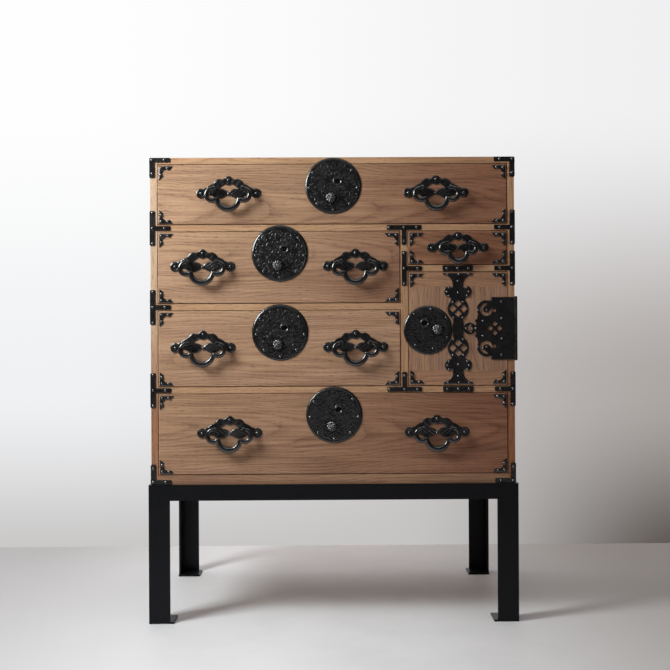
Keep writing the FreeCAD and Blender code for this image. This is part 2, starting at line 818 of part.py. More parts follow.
def make_door_boards():
    """An upright panel held by a tongue in a rail at each end."""
    tongue_front = face + (front_thickness - tongue_thickness) / 2
    tongue_back = tongue_front + tongue_thickness
    rail_low_top = door_low + end_rail_height
    rail_high_base = door_high - end_rail_height
    panel = block(door_left, door_right, face, door_back, rail_low_top, rail_high_base)
    tongue = block(door_left, door_right, tongue_front, tongue_back,
                   rail_low_top - tongue_length, rail_high_base + tongue_length)
    rails = [block(door_left, door_right, face, door_back, door_low, rail_low_top),
             block(door_left, door_right, face, door_back, rail_high_base, door_high)]
    holes = lock_core(offset(door_collar_offset, door_lock_x, door_lock_z),
                      offset(door_button_offset, door_lock_x, door_lock_z))
    wedge = door_edge_bevel()
    return {
        "door_panel": [cut_all(fused([panel, tongue]), holes + [wedge])],
        "door_end_rails": [cut_all(rail, [tongue, wedge]) for rail in rails],
    }


def strap_head(half):
    """The flared end of the strap, a distance half from its centre, with its lip along the door's edge."""
    wide, neck = strap_head_half_width, strap_neck_half_width
    lip_x, lip_z = wide - strap_lip_slope, half - strap_head_lip
    bow_x, bow_z = neck + strap_flare_bow, half - strap_flare_drop
    foot_z = half - strap_head_height
    return curved((-neck, foot_z), ((-bow_x, bow_z), (-lip_x, lip_z)), (-wide, half), (wide, half),
                  (lip_x, lip_z), ((bow_x, bow_z), (neck, foot_z)), (-neck, foot_z))


def strap_half():
    """The upper half of the door strap about its centre: faces, then piercings."""
    half = (door_high - door_low) / 2 - strap_edge_inset
    neck, top, bottom = strap_neck_half_width, lattice_top_half_width, lattice_bottom_half_width
    neck_z = half - strap_head_height + outline_overlap
    seat_z = lattice_high - 2 * outline_overlap
    body = polygon([(-neck, neck_z), (neck, neck_z), (scroll_offset, scroll_seat), (top, seat_z),
                    (-top, seat_z), (-scroll_offset, scroll_seat)])
    scrolls = [disc(x, scroll_rise, scroll_radius) for x in (-scroll_offset, scroll_offset)]
    middle_z = (lattice_low + lattice_high) / 2 + 2 * outline_overlap
    lattice = curved((-top, lattice_high), (top, lattice_high),
                     ((lattice_swell, middle_z), (bottom, lattice_low)), (-bottom, lattice_low),
                     ((-lattice_swell, middle_z), (-top, lattice_high)))
    holes = [disc(x, half - strap_eye_drop, strap_eye_radius) for x in (-strap_eye_offset, strap_eye_offset)]
    holes += [diamond(x, middle_z, lattice_eye_half_width, lattice_eye_half_width)
              for x in (-lattice_eye_offset, lattice_eye_offset)]
    holes += [diamond(0, middle_z + step, lattice_eye_half_width, lattice_eye_half_height)
              for step in (-lattice_eye_step, lattice_eye_step)]
    return [strap_head(half), body, lattice] + scrolls, holes


def make_strap():
    """The openwork strap down the middle of the door, one sheet of iron."""
    faces, holes = strap_half()
    end_x, end_z = lattice_bottom_half_width, lattice_low + outline_overlap
    side_x, side_z = waist_half_width, waist_half_height
    waist = polygon([(-end_x, end_z), (-side_x, side_z), (-side_x, -side_z), (-end_x, -end_z),
                     (end_x, -end_z), (side_x, -side_z), (side_x, side_z), (end_x, end_z)])
    lock_seat = disc(door_lock_x - door_middle_x, door_lock_rise, door_lock_plate_radius + stop_gap)
    holes = mirrored(holes, Z_AXIS) + [lock_seat]
    strap = plate(mirrored(faces, Z_AXIS) + [waist], holes, iron_thickness, face)
    return placed(strap, door_middle_x, door_middle_z)


def crescent(x, z, sign):
    """One crescent piercing of the hinge plate, held open by a neck of iron towards the pin."""
    core = disc(x + crescent_core_shift, z + sign * crescent_core_shift, crescent_core_radius)
    moon = disc(x, z, crescent_radius).cut(core)
    near, far = crescent_neck_start, crescent_neck_end
    side = crescent_neck_half_width
    neck = polygon([(x + along + across, z + sign * (along - across)) for along, across in (
        (near, -side), (near, side), (far, side), (far, -side))])
    return moon.cut(neck)


def openwork_leaf():
    """The pierced hinge plate, drawn to the left of its pin with the pin's line at x = 0."""
    reach, high = hinge_plate_reach, hinge_plate_height / 2
    clear = knuckle_radius + knuckle_gap

    def at(points, z_sign):
        return scaled(points, -reach, z_sign * high)

    upper = at([leaf_shoulder, leaf_corner] + list(leaf_point), 1)
    (corner_via, corner_end), point = upper[1], upper[2:]
    field = curved((-clear, high), (-clear, -high), *at([leaf_shoulder, leaf_corner] + list(leaf_point), -1),
                   (-reach, 0), *point[::-1], corner_end, (corner_via, upper[0]), (-clear, high))
    lobes, cusps, holes = [], [], []
    for sign in (-1, 1):
        lobe, cusp, eye = at([leaf_lobe_place, leaf_cusp_place, leaf_eye_place], sign)
        lobes.append(disc(*lobe, leaf_lobe_radius))
        cusps.append(disc(*cusp, leaf_cusp_radius))
        holes.append(disc(*eye, leaf_eye_radius))
        holes.append(crescent(*lobe, sign))
    middle, half = at([leaf_diamond_place], 1)[0][0], leaf_diamond_half_width
    for x, z in ((0, 1), (0, -1), (1, 0), (-1, 0)):
        holes.append(diamond(middle + x * leaf_diamond_offset, z * leaf_diamond_offset, half, half))
    ring_end = door_middle_x + waist_half_width + stop_gap
    ring_radius = (hinge_x - reach + link_ring_overlap - ring_end) / 2
    ring_x = link_ring_overlap - reach - ring_radius
    holes.append(disc(ring_x, 0, ring_radius - link_ring_wall))
    return [field, disc(ring_x, 0, ring_radius)] + lobes + cusps, holes


def knuckle(z_low, z_high, leaf_point):
    """One knuckle of the barrel with the web that ties it to its leaf."""
    barrel = rod(Vector(hinge_x, hinge_y, z_low), Vector(hinge_x, hinge_y, z_high), knuckle_radius)
    x, y = leaf_point
    if abs(x - hinge_x) > abs(y - hinge_y):
        web = block(x, hinge_x, face - iron_thickness, face, z_low, z_high)
    else:
        web = block(half_width, half_width + iron_thickness, hinge_y, y, z_low, z_high)
    return fused([barrel, web])


def make_hinge():
    """The door's leaf, the leaf on the case and the pin that joins them."""
    low = door_middle_z - hinge_plate_height / 2
    high = door_middle_z + hinge_plate_height / 2
    third = hinge_plate_height / 3
    faces, holes = openwork_leaf()
    sheet = placed(plate(faces, holes, iron_thickness, face), hinge_x, door_middle_z)
    bore = rod(Vector(hinge_x, hinge_y, low - overcut), Vector(hinge_x, hinge_y, high + overcut),
               hinge_pin_radius + hinge_pin_clearance)
    lap = knuckle_radius + knuckle_gap + knuckle_lap
    middle = knuckle(low + third + knuckle_gap / 2, high - third - knuckle_gap / 2,
                     (hinge_x - lap, hinge_y))
    side_start = case_front + hinge_side_leaf_start
    side_leaf = block(half_width, half_width + iron_thickness, side_start,
                      side_start + hinge_side_leaf_depth, low, high)
    ends = [knuckle(a, b, (hinge_x, side_start)) for a, b in (
        (low, low + third - knuckle_gap / 2), (high - third + knuckle_gap / 2, high))]
    pin = rod(Vector(hinge_x, hinge_y, low), Vector(hinge_x, hinge_y, high), hinge_pin_radius)
    heads = [rod(Vector(hinge_x, hinge_y, z), Vector(hinge_x, hinge_y, z + rise), hinge_pin_head_radius)
             for z, rise in ((low, -hinge_pin_head), (high, hinge_pin_head))]
    return {
        "door_hinge_leaf": [fused([sheet, middle]).cut(bore)],
        "hinge_side_leaf": [fused([side_leaf] + ends).cut(bore)],
        "hinge_pin": [fused([pin] + heads)],
    }


def make_door_lock():
    """The round lock plate of the door, its case, push button and sideways bolt."""
    x, z = door_lock_x, door_lock_z
    collar = offset(door_collar_offset, x, z)
    button = offset(door_button_offset, x, z)
    left = door_left + door_lock_case_setback
    pocket = door_bolt(bolt_clearance, left - overcut, left + bolt_length + bolt_clearance)
    half = lock_case_width / 2
    case = lock_case(left, left + door_lock_case_length, z - half, z + half, collar, button, pocket)
    front_plate = lock_plate(door_lock_plate_radius, door_collar_offset, door_button_offset)
    return {
        "door_lock": [placed(front_plate, x, z), case],
        "door_lock_button": [lock_button(*button)],
        "door_lock_bolt": [door_bolt(0, left, left + bolt_length)],
    }


# ---- the drawers' places in the case ----
left_middle = (divider_left - inner_half) / 2
right_middle = (divider_right + inner_half) / 2
wide_handles = (wide_handle_inset - inner_half, inner_half - wide_handle_inset)
left_handles = (left_handle_inset - inner_half, divider_left - left_handle_inset)
drawers = [
    Drawer("top_drawer", -inner_half, inner_half, top_row, top_board_z,
           wide_handles, large_handle, 0.0, top_board_z - lock_drop),
    Drawer("upper_left_drawer", -inner_half, divider_left, upper_left_row, upper_shelf_z,
           left_handles, large_handle, left_middle, upper_shelf_z - lock_drop),
    Drawer("lower_left_drawer", -inner_half, divider_left, lower_left_row, middle_shelf_z,
           left_handles, large_handle, left_middle, middle_shelf_z - lock_drop),
    Drawer("bottom_drawer", -inner_half, inner_half, bottom_row, lower_shelf_z,
           wide_handles, large_handle, 0.0, lower_shelf_z - bottom_lock_drop),
    Drawer("small_drawer", divider_right, inner_half, small_row, upper_shelf_z,
           (right_middle,), small_handle, None, None),
]


def main():
    os.makedirs("parts", exist_ok=True)
    nodes = {name: [board] for name, board in make_carcass().items()}
    nodes.update(make_stand())
    nodes["case_irons"] = make_case_irons()
    for drawer in drawers:
        nodes.update(make_drawer(drawer))
    nodes.update(make_door_boards())
    nodes["door_irons"] = corner_irons(door_left, door_right, door_low, door_high) + [make_strap()]
    nodes.update(make_hinge())
    nodes.update(make_door_lock())
    for name, shapes in nodes.items():
        write(name, shapes)
    print(len(nodes), "nodes")


main()
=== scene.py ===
# %% [markdown]
# # A small tansu chest on a steel stand
# A tansu is a plain box of boards that gets its character from its ironwork: round embossed locks,
# crowned handle plates, a pierced hinge and hundreds of hammered nails. The joinery and every moving
# part come from a finished CAD model, so this lesson only dresses that model. It gives each board and
# each iron a finish, and adds the fine work that a smith does by hand.

# %% Open the CAD model
import math
import bmesh
import bpy
import numpy as np
from mathutils import Euler, Matrix, Vector, kdtree


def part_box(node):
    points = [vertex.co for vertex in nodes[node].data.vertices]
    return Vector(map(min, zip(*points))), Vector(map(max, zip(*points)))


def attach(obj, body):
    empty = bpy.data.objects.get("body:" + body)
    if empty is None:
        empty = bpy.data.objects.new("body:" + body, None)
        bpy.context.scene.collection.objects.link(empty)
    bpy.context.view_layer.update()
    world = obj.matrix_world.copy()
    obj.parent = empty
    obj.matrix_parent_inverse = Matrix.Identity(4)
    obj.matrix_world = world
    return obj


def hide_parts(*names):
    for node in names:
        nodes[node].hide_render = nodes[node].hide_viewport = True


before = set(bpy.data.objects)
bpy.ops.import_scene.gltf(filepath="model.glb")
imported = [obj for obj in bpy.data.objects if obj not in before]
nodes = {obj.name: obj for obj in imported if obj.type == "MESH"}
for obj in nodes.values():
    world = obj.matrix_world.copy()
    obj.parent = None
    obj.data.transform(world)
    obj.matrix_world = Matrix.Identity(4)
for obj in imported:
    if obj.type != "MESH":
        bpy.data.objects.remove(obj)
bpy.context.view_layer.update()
mm = 0.001

# %% [markdown]
# ## A bench for node trees
# Materials and Geometry Nodes are both trees of nodes. A bench holds one tree and the tools for it:
# "add" makes a node, sets its options first, and then gives each input a value or a link from another
# node's output. The other tools are the few kinds of node that a maker reaches for most.

# %% The bench
class Bench:
    def __init__(self, tree):
        self.tree = tree

    def feed(self, node, inputs):
        """Gives a node's inputs their values, or links from other nodes."""
        for key, value in inputs.items():
            if isinstance(value, bpy.types.NodeSocket):
                self.tree.links.new(value, node.inputs[key])
            else:
                node.inputs[key].default_value = value
        return node

    def add(self, kind, inputs=None, **options):
        made = self.tree.nodes.new(kind)
        for name, value in options.items():
            setattr(made, name, value)
        return self.feed(made, inputs or {})

    def wire(self, kind, inputs=None, **options):
        """Adds a node and hands over its first output, ready to plug in."""
        return self.add(kind, inputs, **options).outputs[0]

    def sums(self, operation, *values, clamp=False):
        return self.wire("ShaderNodeMath", dict(enumerate(values)), operation=operation, use_clamp=clamp)

    def times(self, first, second):
        return self.sums("MULTIPLY", first, second)

    def plus(self, first, second):
        return self.sums("ADD", first, second)

    def minus(self, first, second):
        return self.sums("SUBTRACT", first, second)

    def over(self, first, second):
        return self.sums("DIVIDE", first, second)

    def line(self, value, slope, start, clamp=False):
        """The straight line start + slope * value."""
        return self.sums("MULTIPLY_ADD", value, slope, start, clamp=clamp)

    def vectors(self, operation, *values):
        made = self.add("ShaderNodeVectorMath", dict(enumerate(values)), operation=operation)
        return made.outputs["Value" if operation in ("LENGTH", "DISTANCE", "DOT_PRODUCT") else "Vector"]

    def ramp(self, value, low, high, to_low=0.0, to_high=1.0, smooth=True):
        """Goes from to_low to to_high while the value goes from low to high, and stays there."""
        return self.wire("ShaderNodeMapRange", {0: value, 1: low, 2: high, 3: to_low, 4: to_high},
                         interpolation_type="SMOOTHSTEP" if smooth else "LINEAR")

    def mixed(self, share, first, second, blend="MIX"):
        return self.add("ShaderNodeMix", {0: share, 6: first, 7: second}, data_type="RGBA",
                        blend_type=blend).outputs[2]

    def place(self):
        """Where each point is on its object, in metres."""
        return self.add("ShaderNodeTexCoord").outputs["Object"]

    def parts(self, vector):
        return self.add("ShaderNodeSeparateXYZ", {0: vector}).outputs

    def vector(self, x=0.0, y=0.0, z=0.0):
        return self.wire("ShaderNodeCombineXYZ", {0: x, 1: y, 2: z})

    def noise(self, vector, scale, detail, roughness=0.5):
        return self.wire("ShaderNodeTexNoise", {"Vector": vector, "Scale": scale, "Detail": detail,
                                                "Roughness": roughness})

    def chance(self, low, high, seed):
        """A random number between low and high for each point."""
        return self.add("FunctionNodeRandomValue", {2: low, 3: high, "Seed": seed},
                        data_type="FLOAT").outputs[1]

    def ball(self, segments, rings, radius=1.0):
        return self.wire("GeometryNodeMeshUVSphere", {"Segments": segments, "Rings": rings,
                                                      "Radius": radius})

    def moved(self, geometry, **inputs):
        return self.wire("GeometryNodeTransform", {"Geometry": geometry, **inputs})

    def together(self, *geometries):
        """Joins geometry: the node's one input takes many links."""
        made = self.add("GeometryNodeJoinGeometry")
        for geometry in geometries:
            self.tree.links.new(geometry, made.inputs[0])
        return made.outputs[0]

    def copies(self, points, instance, **inputs):
        """Sets a copy of the instance on each point, as real mesh or curve."""
        copied = self.wire("GeometryNodeInstanceOnPoints", {"Points": points, "Instance": instance, **inputs})
        return self.wire("GeometryNodeRealizeInstances", {0: copied})

    def dressed(self, geometry, finish):
        """Smooth shading and a material, which end a tree that makes a piece."""
        smooth = self.wire("GeometryNodeSetShadeSmooth", {"Geometry": geometry})
        return self.wire("GeometryNodeSetMaterial", {"Geometry": smooth, "Material": finish})


# %% [markdown]
# A group is a tree that others can use, with named inputs and outputs. A material comes with its
# Principled shader. Colours are written as a painter reads them and turned into the shaders' light.

# %% Groups, materials and colours
def grouped(kind, name, inputs, outputs):
    tree = bpy.data.node_groups.new(name, kind)
    for label, socket, value in inputs:
        made = tree.interface.new_socket(name=label, in_out="INPUT", socket_type="NodeSocket" + socket)
        if value is not None:
            made.default_value = value
    for label, socket in outputs:
        tree.interface.new_socket(name=label, in_out="OUTPUT", socket_type="NodeSocket" + socket)
    if kind == "GeometryNodeTree":
        tree.is_modifier = True
    return Bench(tree), tree.nodes.new("NodeGroupInput").outputs, tree.nodes.new("NodeGroupOutput")


def material(name):
    finish = bpy.data.materials.new(name)
    finish.use_nodes = True
    return finish, Bench(finish.node_tree), finish.node_tree.nodes["Principled BSDF"]


def paint(red, green, blue):
    """A colour as a painter reads it, 0 to 255, turned into the linear light that shaders use."""
    parts = [value / 255 for value in (red, green, blue)]
    return [p / 12.92 if p <= 0.04045 else ((p + 0.055) / 1.055) ** 2.4 for p in parts] + [1.0]


# %% [markdown]
# ## Wood grain
# The boards are a ring-porous hardwood, rubbed with a thin stain. Such wood shows the tree's rings as
# long lines, with rows of short dark pores where each ring starts. A flat-sawn board cuts the rings at
# a shallow angle, so the lines bend into tall arches. A texture image would stretch and repeat; instead
# the rings are worked out in space, as the distance from a tilted heart line, and the board's
# surface cuts through them like a saw. X runs along the grain and Z across the face.

# %% The plank grain group
wood, given, ends = grouped("ShaderNodeTree", "plank_grain", [
    ("Vector", "Vector", None), ("Light", "Color", paint(176, 136, 107)),
    ("Dark", "Color", paint(139, 101, 78)), ("Pore", "Color", paint(88, 60, 45)),
    ("Blush", "Color", paint(186, 150, 112)),
    ("Ring width", "Float", 5.0 * mm), ("Tilt", "Float", 0.05), ("Heart depth", "Float", 0.06)],
    [("Colour", "Color"), ("Roughness", "Float"), ("Height", "Float")])


def stretched(along, across, detail, roughness=0.5):
    """Noise drawn out along the grain; along and across are in cycles a metre."""
    return wood.noise(wood.vectors("MULTIPLY", given["Vector"], (along, across, across)),
                      1.0, detail, roughness)


parts = wood.parts(given["Vector"])
waver = wood.ramp(stretched(2.2, 9.0, 2.0), 0.25, 0.75, -0.022, 0.022, False)
ripple = wood.ramp(stretched(9.0, 60.0, 2.0), 0.25, 0.75, -0.002, 0.002, False)
across = wood.plus(wood.plus(parts[2], waver), ripple)
deep = wood.plus(wood.line(parts[0], given["Tilt"], parts[1]), given["Heart depth"])
from_heart = wood.sums("SQRT", wood.plus(wood.times(across, across), wood.times(deep, deep)))
turn = wood.sums("FRACT", wood.over(from_heart, given["Ring width"]))
early = wood.sums("POWER", wood.minus(1.0, turn), 2.6)
late = wood.ramp(turn, 0.72, 0.98)
streak = wood.ramp(stretched(7.0, 420.0, 3.0, 0.6), 0.3, 0.7)
cloud = wood.ramp(stretched(3.0, 14.0, 3.0), 0.3, 0.72)
bands = wood.ramp(stretched(5.0, 110.0, 3.0, 0.6), 0.32, 0.68)
pores = wood.ramp(stretched(75.0, 1500.0, 1.0), 0.56, 0.66)
pores = wood.times(pores, wood.ramp(early, 0.0, 0.8, 0.30, 1.0))
tone = 0.0
for part, share in ((early, 0.34), (streak, 0.34), (bands, 0.36), (cloud, 0.34), (late, 0.12)):
    tone = wood.line(part, share, tone)
tone = wood.sums("MAXIMUM", wood.line(tone, 1.25, -0.32), 0.0, clamp=True)
blush = wood.ramp(stretched(6.0, 30.0, 2.0), 0.35, 0.65)
warm = wood.mixed(wood.times(blush, 0.5), given["Light"], given["Blush"])
plain = wood.mixed(tone, warm, given["Dark"])
wood.feed(ends, {"Colour": wood.mixed(wood.times(pores, 0.66), plain, given["Pore"]),
                 "Roughness": wood.line(pores, 0.20, wood.line(streak, 0.10, 0.46)),
                 "Height": wood.line(pores, -1.0, wood.times(early, -0.25))})
print("grain nodes:", len(wood.tree.nodes))


# %% [markdown]
# Each board is cut from its own place in the tree, so each gets its own material: the same group, with
# the pattern centred on that board and then slid to its own place. A long front has its grain along X.
# A side board or the door panel stands on end, so its pattern is turned a quarter. A painted shade multiplies
# the colour by a tone along one axis, for the window's light falling off: fronts darken and warm towards
# the right, away from the window, and side boards darken towards the foot.

# %% One finish for one board
flat_front, on_end, lying = (0, 0, 0), (0, math.pi / 2, 0), (math.pi / 2, 0, 0)
front_to_back = (0, 0, math.pi / 2)


def refinish(holder, finish):
    holder.data.materials.clear()
    holder.data.materials.append(finish)


def board_finish(node_name, light, dark, pore, lay, slide, ring, tilt, depth, painted_shade=None):
    finish, bench, shader = material(node_name + "_grain")
    low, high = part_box(node_name)
    centre = Euler(lay).to_matrix() @ ((low + high) / 2)
    place = bench.wire("ShaderNodeMapping", {"Vector": bench.place(), "Rotation": lay,
                                             "Location": Vector(slide) * mm - centre})
    grain = bench.add("ShaderNodeGroup", {
        "Vector": place, "Light": paint(*light), "Dark": paint(*dark), "Pore": paint(*pore),
        "Ring width": ring * mm, "Tilt": tilt, "Heart depth": depth}, node_tree=wood.tree).outputs
    relief = bench.wire("ShaderNodeBump", {"Height": grain["Height"], "Distance": 0.25 * mm, "Strength": 0.6})
    colour = grain["Colour"]
    # painted shade: the colour darkens along one axis, as the window's light falls off
    if painted_shade:
        axis, start, end, tone = painted_shade
        share = bench.ramp(bench.parts(bench.place())[axis], start, end)
        colour = bench.mixed(share, colour, bench.mixed(1.0, colour, tone, "MULTIPLY"))
    bench.feed(shader, {"Base Color": colour, "Roughness": grain["Roughness"], "Normal": relief,
                        "Specular IOR Level": 0.35})
    refinish(nodes[node_name], finish)


# %% [markdown]
# ## Which board gets which cut
# The drawer fronts and the door are the show wood, stained a pinkish tan. The case's own edges are
# paler and have straighter grain, because they are quarter-sawn. The drawer boxes inside are bare
# softwood. Small differences between the fronts are true to the craft: no two planks match.

# %% Finish the boards
front_cuts = {
    "top_drawer_front": ((184, 147, 117), (138, 102, 80), (40, 5, 28), 0.045),
    "upper_left_drawer_front": ((182, 145, 117), (138, 102, 80), (-300, 2, -22), 0.06),
    "lower_left_drawer_front": ((191, 153, 125), (143, 107, 84), (150, 4, 12), -0.04),
    "bottom_drawer_front": ((174, 136, 109), (126, 91, 70), (-120, 0, -8), 0.055),
    "small_drawer_front": ((176, 137, 106), (134, 97, 73), (420, 3, 18), 0.03),
}
# painted shade on the fronts: darker and warmer to the right, away from the window; the lower left front has
# none
for node_name, (light, dark, slide, tilt) in front_cuts.items():
    board_finish(node_name, light, dark, (84, 56, 42), flat_front, slide, ring=4.6, tilt=tilt, depth=0.05,
                 painted_shade=None if node_name[0] == "l" else (0, -0.12, 0.34, (0.68, 0.52, 0.50, 1.0)))
board_finish("door_panel", (168, 130, 108), (130, 96, 78), (80, 54, 42), on_end, (30, 3, 10),
             ring=4.2, tilt=0.03, depth=0.07)
board_finish("door_end_rails", (176, 134, 106), (140, 101, 78), (84, 56, 42), flat_front, (70, 2, 60),
             ring=3.8, tilt=0.02, depth=0.08)
case_cuts = {
    "left_side_board": on_end, "right_side_board": on_end, "back_panel": on_end,
    "upright_divider": on_end, "top_board": lying, "bottom_board": flat_front, "upper_shelf": flat_front,
    "middle_shelf": flat_front, "door_shelf": flat_front, "lower_shelf": flat_front,
}
for number, (node_name, lay) in enumerate(case_cuts.items()):
    # painted shade: the side boards darken towards the foot, where less window light falls
    light, dark, low_shade_tone = (196, 156, 121), (160, 119, 89), (0.60, 0.42, 0.35, 1.0)
    # painted light: the left side board faces the window, so it is a lighter, lit copy of the case wood, and
    # darkens more at the foot
    if node_name == "left_side_board":
        light, dark, low_shade_tone = (212, 186, 160), (184, 152, 126), (0.56, 0.36, 0.28, 1.0)
    elif node_name == "bottom_board":
        light, dark = (158, 120, 96), (124, 90, 70)
    board_finish(node_name, light, dark, (104, 72, 52), lay, (90 * number, 5, 60 + 7 * number),
                 ring=4.0, tilt=0.02, depth=0.11,
                 painted_shade=(2, 0.66, 0.36, low_shade_tone) if node_name.endswith("side_board") else None)
for number, name in enumerate(("top", "upper_left", "lower_left", "bottom", "small")):
    board_finish(name + "_drawer_box", (201, 176, 138), (176, 147, 107), (150, 120, 84), front_to_back,
                 (60 * number, 40, 9), ring=7.0, tilt=0.04, depth=0.09)
print("boards finished:", sum(len(n.data.materials) == 1 for n in nodes.values()))

# %% [markdown]
# ## Black iron
# Tansu irons are beaten sheet, burnt black with silk waste or lacquer. The black isn't even: hammer
# dents catch the light, the lacquer is thinner on edges, and the metal's brown shows there. One group
# gives the dents and the tone; a second finds edges by comparing the true surface direction with one
# rounded over a millimetre, which the Bevel node gives.

# %% The iron groups
wear, given, ends = grouped("ShaderNodeTree", "edge_wear", [
    ("Vector", "Vector", None), ("Width", "Float", 0.8 * mm)], [("Mask", "Float")])
rounded = wear.wire("ShaderNodeBevel", {"Radius": given["Width"]}, samples=4)
sharp = wear.add("ShaderNodeNewGeometry").outputs["Normal"]
turned = wear.ramp(wear.vectors("DOT_PRODUCT", rounded, sharp), 0.99, 0.80)
scuffs = wear.ramp(wear.noise(given["Vector"], 130.0, 3.0), 0.35, 0.65)
wear.feed(ends, {"Mask": wear.times(turned, scuffs)})

beaten, given, ends = grouped("ShaderNodeTree", "beaten_iron", [
    ("Vector", "Vector", None), ("Lacquer", "Color", paint(18, 17, 19)), ("Worn", "Color", paint(52, 43, 38)),
    ("Dent size", "Float", 260.0), ("Sheen spread", "Float", 0.14), ("Sheen", "Float", 0.34)],
    [("Colour", "Color"), ("Roughness", "Float"), ("Height", "Float")])
dents = beaten.wire("ShaderNodeTexVoronoi", {"Vector": given["Vector"], "Scale": given["Dent size"],
                                             "Smoothness": 0.6}, feature="SMOOTH_F1")
grit = beaten.noise(given["Vector"], 1400.0, 2.0)
patch = beaten.ramp(beaten.noise(given["Vector"], 55.0, 4.0), 0.3, 0.7)
wear_and_floor_shade = beaten.wire("ShaderNodeGroup", {"Vector": given["Vector"]}, node_tree=wear.tree)
share = beaten.line(patch, 0.08, beaten.times(wear_and_floor_shade, 0.7), clamp=True)
beaten.feed(ends, {"Colour": beaten.mixed(share, given["Lacquer"], given["Worn"]),
                   "Roughness": beaten.line(patch, given["Sheen spread"], given["Sheen"]),
                   "Height": beaten.line(grit, 0.16, dents)})


def iron_finish(name, lacquer, worn_colour, dent_size, dent_depth, sheen, spread, gloss=0.5, ior=1.5):
    finish, bench, shader = material(name)
    iron = bench.add("ShaderNodeGroup", {
        "Vector": bench.place(), "Lacquer": paint(*lacquer), "Worn": paint(*worn_colour),
        "Dent size": dent_size, "Sheen": sheen, "Sheen spread": spread}, node_tree=beaten.tree).outputs
    relief = bench.wire("ShaderNodeBump", {"Height": iron["Height"], "Distance": dent_depth * mm,
                                           "Strength": 0.7})
    bench.feed(shader, {"Base Color": iron["Colour"], "Roughness": iron["Roughness"], "Normal": relief,
                        "Specular IOR Level": gloss, "IOR": ior})
    return finish


plate_iron = iron_finish("plate_iron", (18, 17, 18), (54, 45, 40), 240.0, 0.35, 0.20, 0.12, 0.7)
smooth_iron = iron_finish("smooth_iron", (18, 17, 18), (60, 52, 47), 120.0, 0.25, 0.15, 0.10, 1.0)
nail_iron = iron_finish("nail_iron", (16, 15, 17), (70, 62, 56), 420.0, 0.06, 0.12, 0.10, 1.0, 1.65)
stand_black = iron_finish("stand_black", (12, 13, 17), (28, 29, 33), 900.0, 0.06, 0.34, 0.08, 0.2)
lock_iron = iron_finish("lock_iron", (36, 34, 33), (88, 76, 62), 160.0, 0.15, 0.40, 0.14)
print("iron finishes: 5")

# %% [markdown]
# Every other CAD node is iron. Its finish follows from its name, and what has wood already is passed by.

# %% Iron on every CAD node that isn't wood
def iron_for(node_name):
    if node_name.startswith("stand_"):
        return stand_black
    if node_name.endswith("_bolt"):
        return lock_iron
    return smooth_iron if "hinge" in node_name or "bail" in node_name else plate_iron


bare = [name for name in nodes if name + "_grain" not in bpy.data.materials]
for node_name in bare:
    refinish(nodes[node_name], iron_for(node_name))
print("nodes in iron or steel:", len(bare))

# %% [markdown]
# ## Making pieces
# A new piece is a mesh whose object stays at the origin, so that its pattern and its place never slide.
# A modifier's result becomes the piece's own mesh before the piece is told which body it rides on.

# %% Helpers for pieces
def added(name, data):
    """A new object in the scene, at the origin."""
    made = bpy.data.objects.new(name, data)
    bpy.context.scene.collection.objects.link(made)
    return made


def new_piece(name, points, faces, finish):
    shape = bpy.data.meshes.new(name)
    shape.from_pydata([tuple(p) for p in points], [], faces)
    shape.materials.append(finish)
    return added(name, shape)


def welded(piece):
    """A piece's mesh for working on, with loose triangles joined where their corners meet."""
    form = bmesh.new()
    form.from_mesh(piece.data)
    bmesh.ops.remove_doubles(form, verts=form.verts, dist=0.001 * mm)
    return form


def settle(piece):
    bpy.context.view_layer.update()
    seen = piece.evaluated_get(bpy.context.evaluated_depsgraph_get())
    shape = bpy.data.meshes.new_from_object(seen)
    piece.modifiers.clear()
    piece.data = shape
    piece.data.name = piece.name
    return piece


def melted(piece, voxel):
    """Melts a piece's overlapping shells into one skin with an even mesh."""
    skin = piece.modifiers.new("skin", "REMESH")
    skin.voxel_size = voxel * mm
    skin.use_smooth_shade = True
    return settle(piece)


def run_tree(bench, piece, values):
    """Gives the piece a Geometry Nodes tree with these named inputs, and keeps its result."""
    modifier = piece.modifiers.new(bench.tree.name, "NODES")
    modifier.node_group = bench.tree
    for item in bench.tree.interface.items_tree:
        if item.item_type == "SOCKET" and item.in_out == "INPUT" and item.name in values:
            modifier[item.identifier] = values[item.name]
    return settle(piece)


def finish_piece(piece, body, replaced=()):
    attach(piece, body)
    if replaced:
        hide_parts(*replaced)
    print(f"{piece.name}: {sum(len(face.vertices) - 2 for face in piece.data.polygons)} triangles on {body}")


# %% [markdown]
# ## Where things are
# The smith marks out with a rule before cutting. These are the middles of the handles, the locks and
# the door, read once from the CAD boxes where a box gives them, and listed elsewhere. Each lock
# plate on a drawer is cut a little over its marked line, so its rim has a place of its own.

# %% Marking out, in millimetres
plate_front = -195.25
case_iron_front = -194.35
pivot_depth = -207.25
pin_rise = 8.0
drawers = ("top_drawer", "upper_left_drawer", "lower_left_drawer", "bottom_drawer", "small_drawer")
pin_radius = 3.9 / math.cos(math.pi / 8)  # the CAD model's pin is an eight-sided bar
handle_places = {}
for name in drawers:
    for side in ("_left", "_right", ""):
        if name + side + "_bail" in nodes:
            low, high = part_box(name + side + "_bail")
            large = name != "small_drawer"
            handle_places[name + side + "_bail"] = ((low.x + high.x) / 2 / mm,
                                                    high.z / mm - pin_rise - pin_radius, large)
lock_places = {"top_drawer": (0.0, 829.5, 52.0), "upper_left_drawer": (-102.0, 701.5, 52.0),
               "lower_left_drawer": (-102.0, 551.5, 52.0), "bottom_drawer": (0.0, 396.0, 52.0),
               "door": (180.7, 554.45, 46.5)}
key_places = {name: ((x + 10.5, z + 8.5) if name != "door" else (175.2, 567.95))
              for name, (x, z, r) in lock_places.items()}
button_places = {name: ((x - 3.0, z - 23.0) if name != "door" else (198.2, 555.95))
                 for name, (x, z, r) in lock_places.items()}
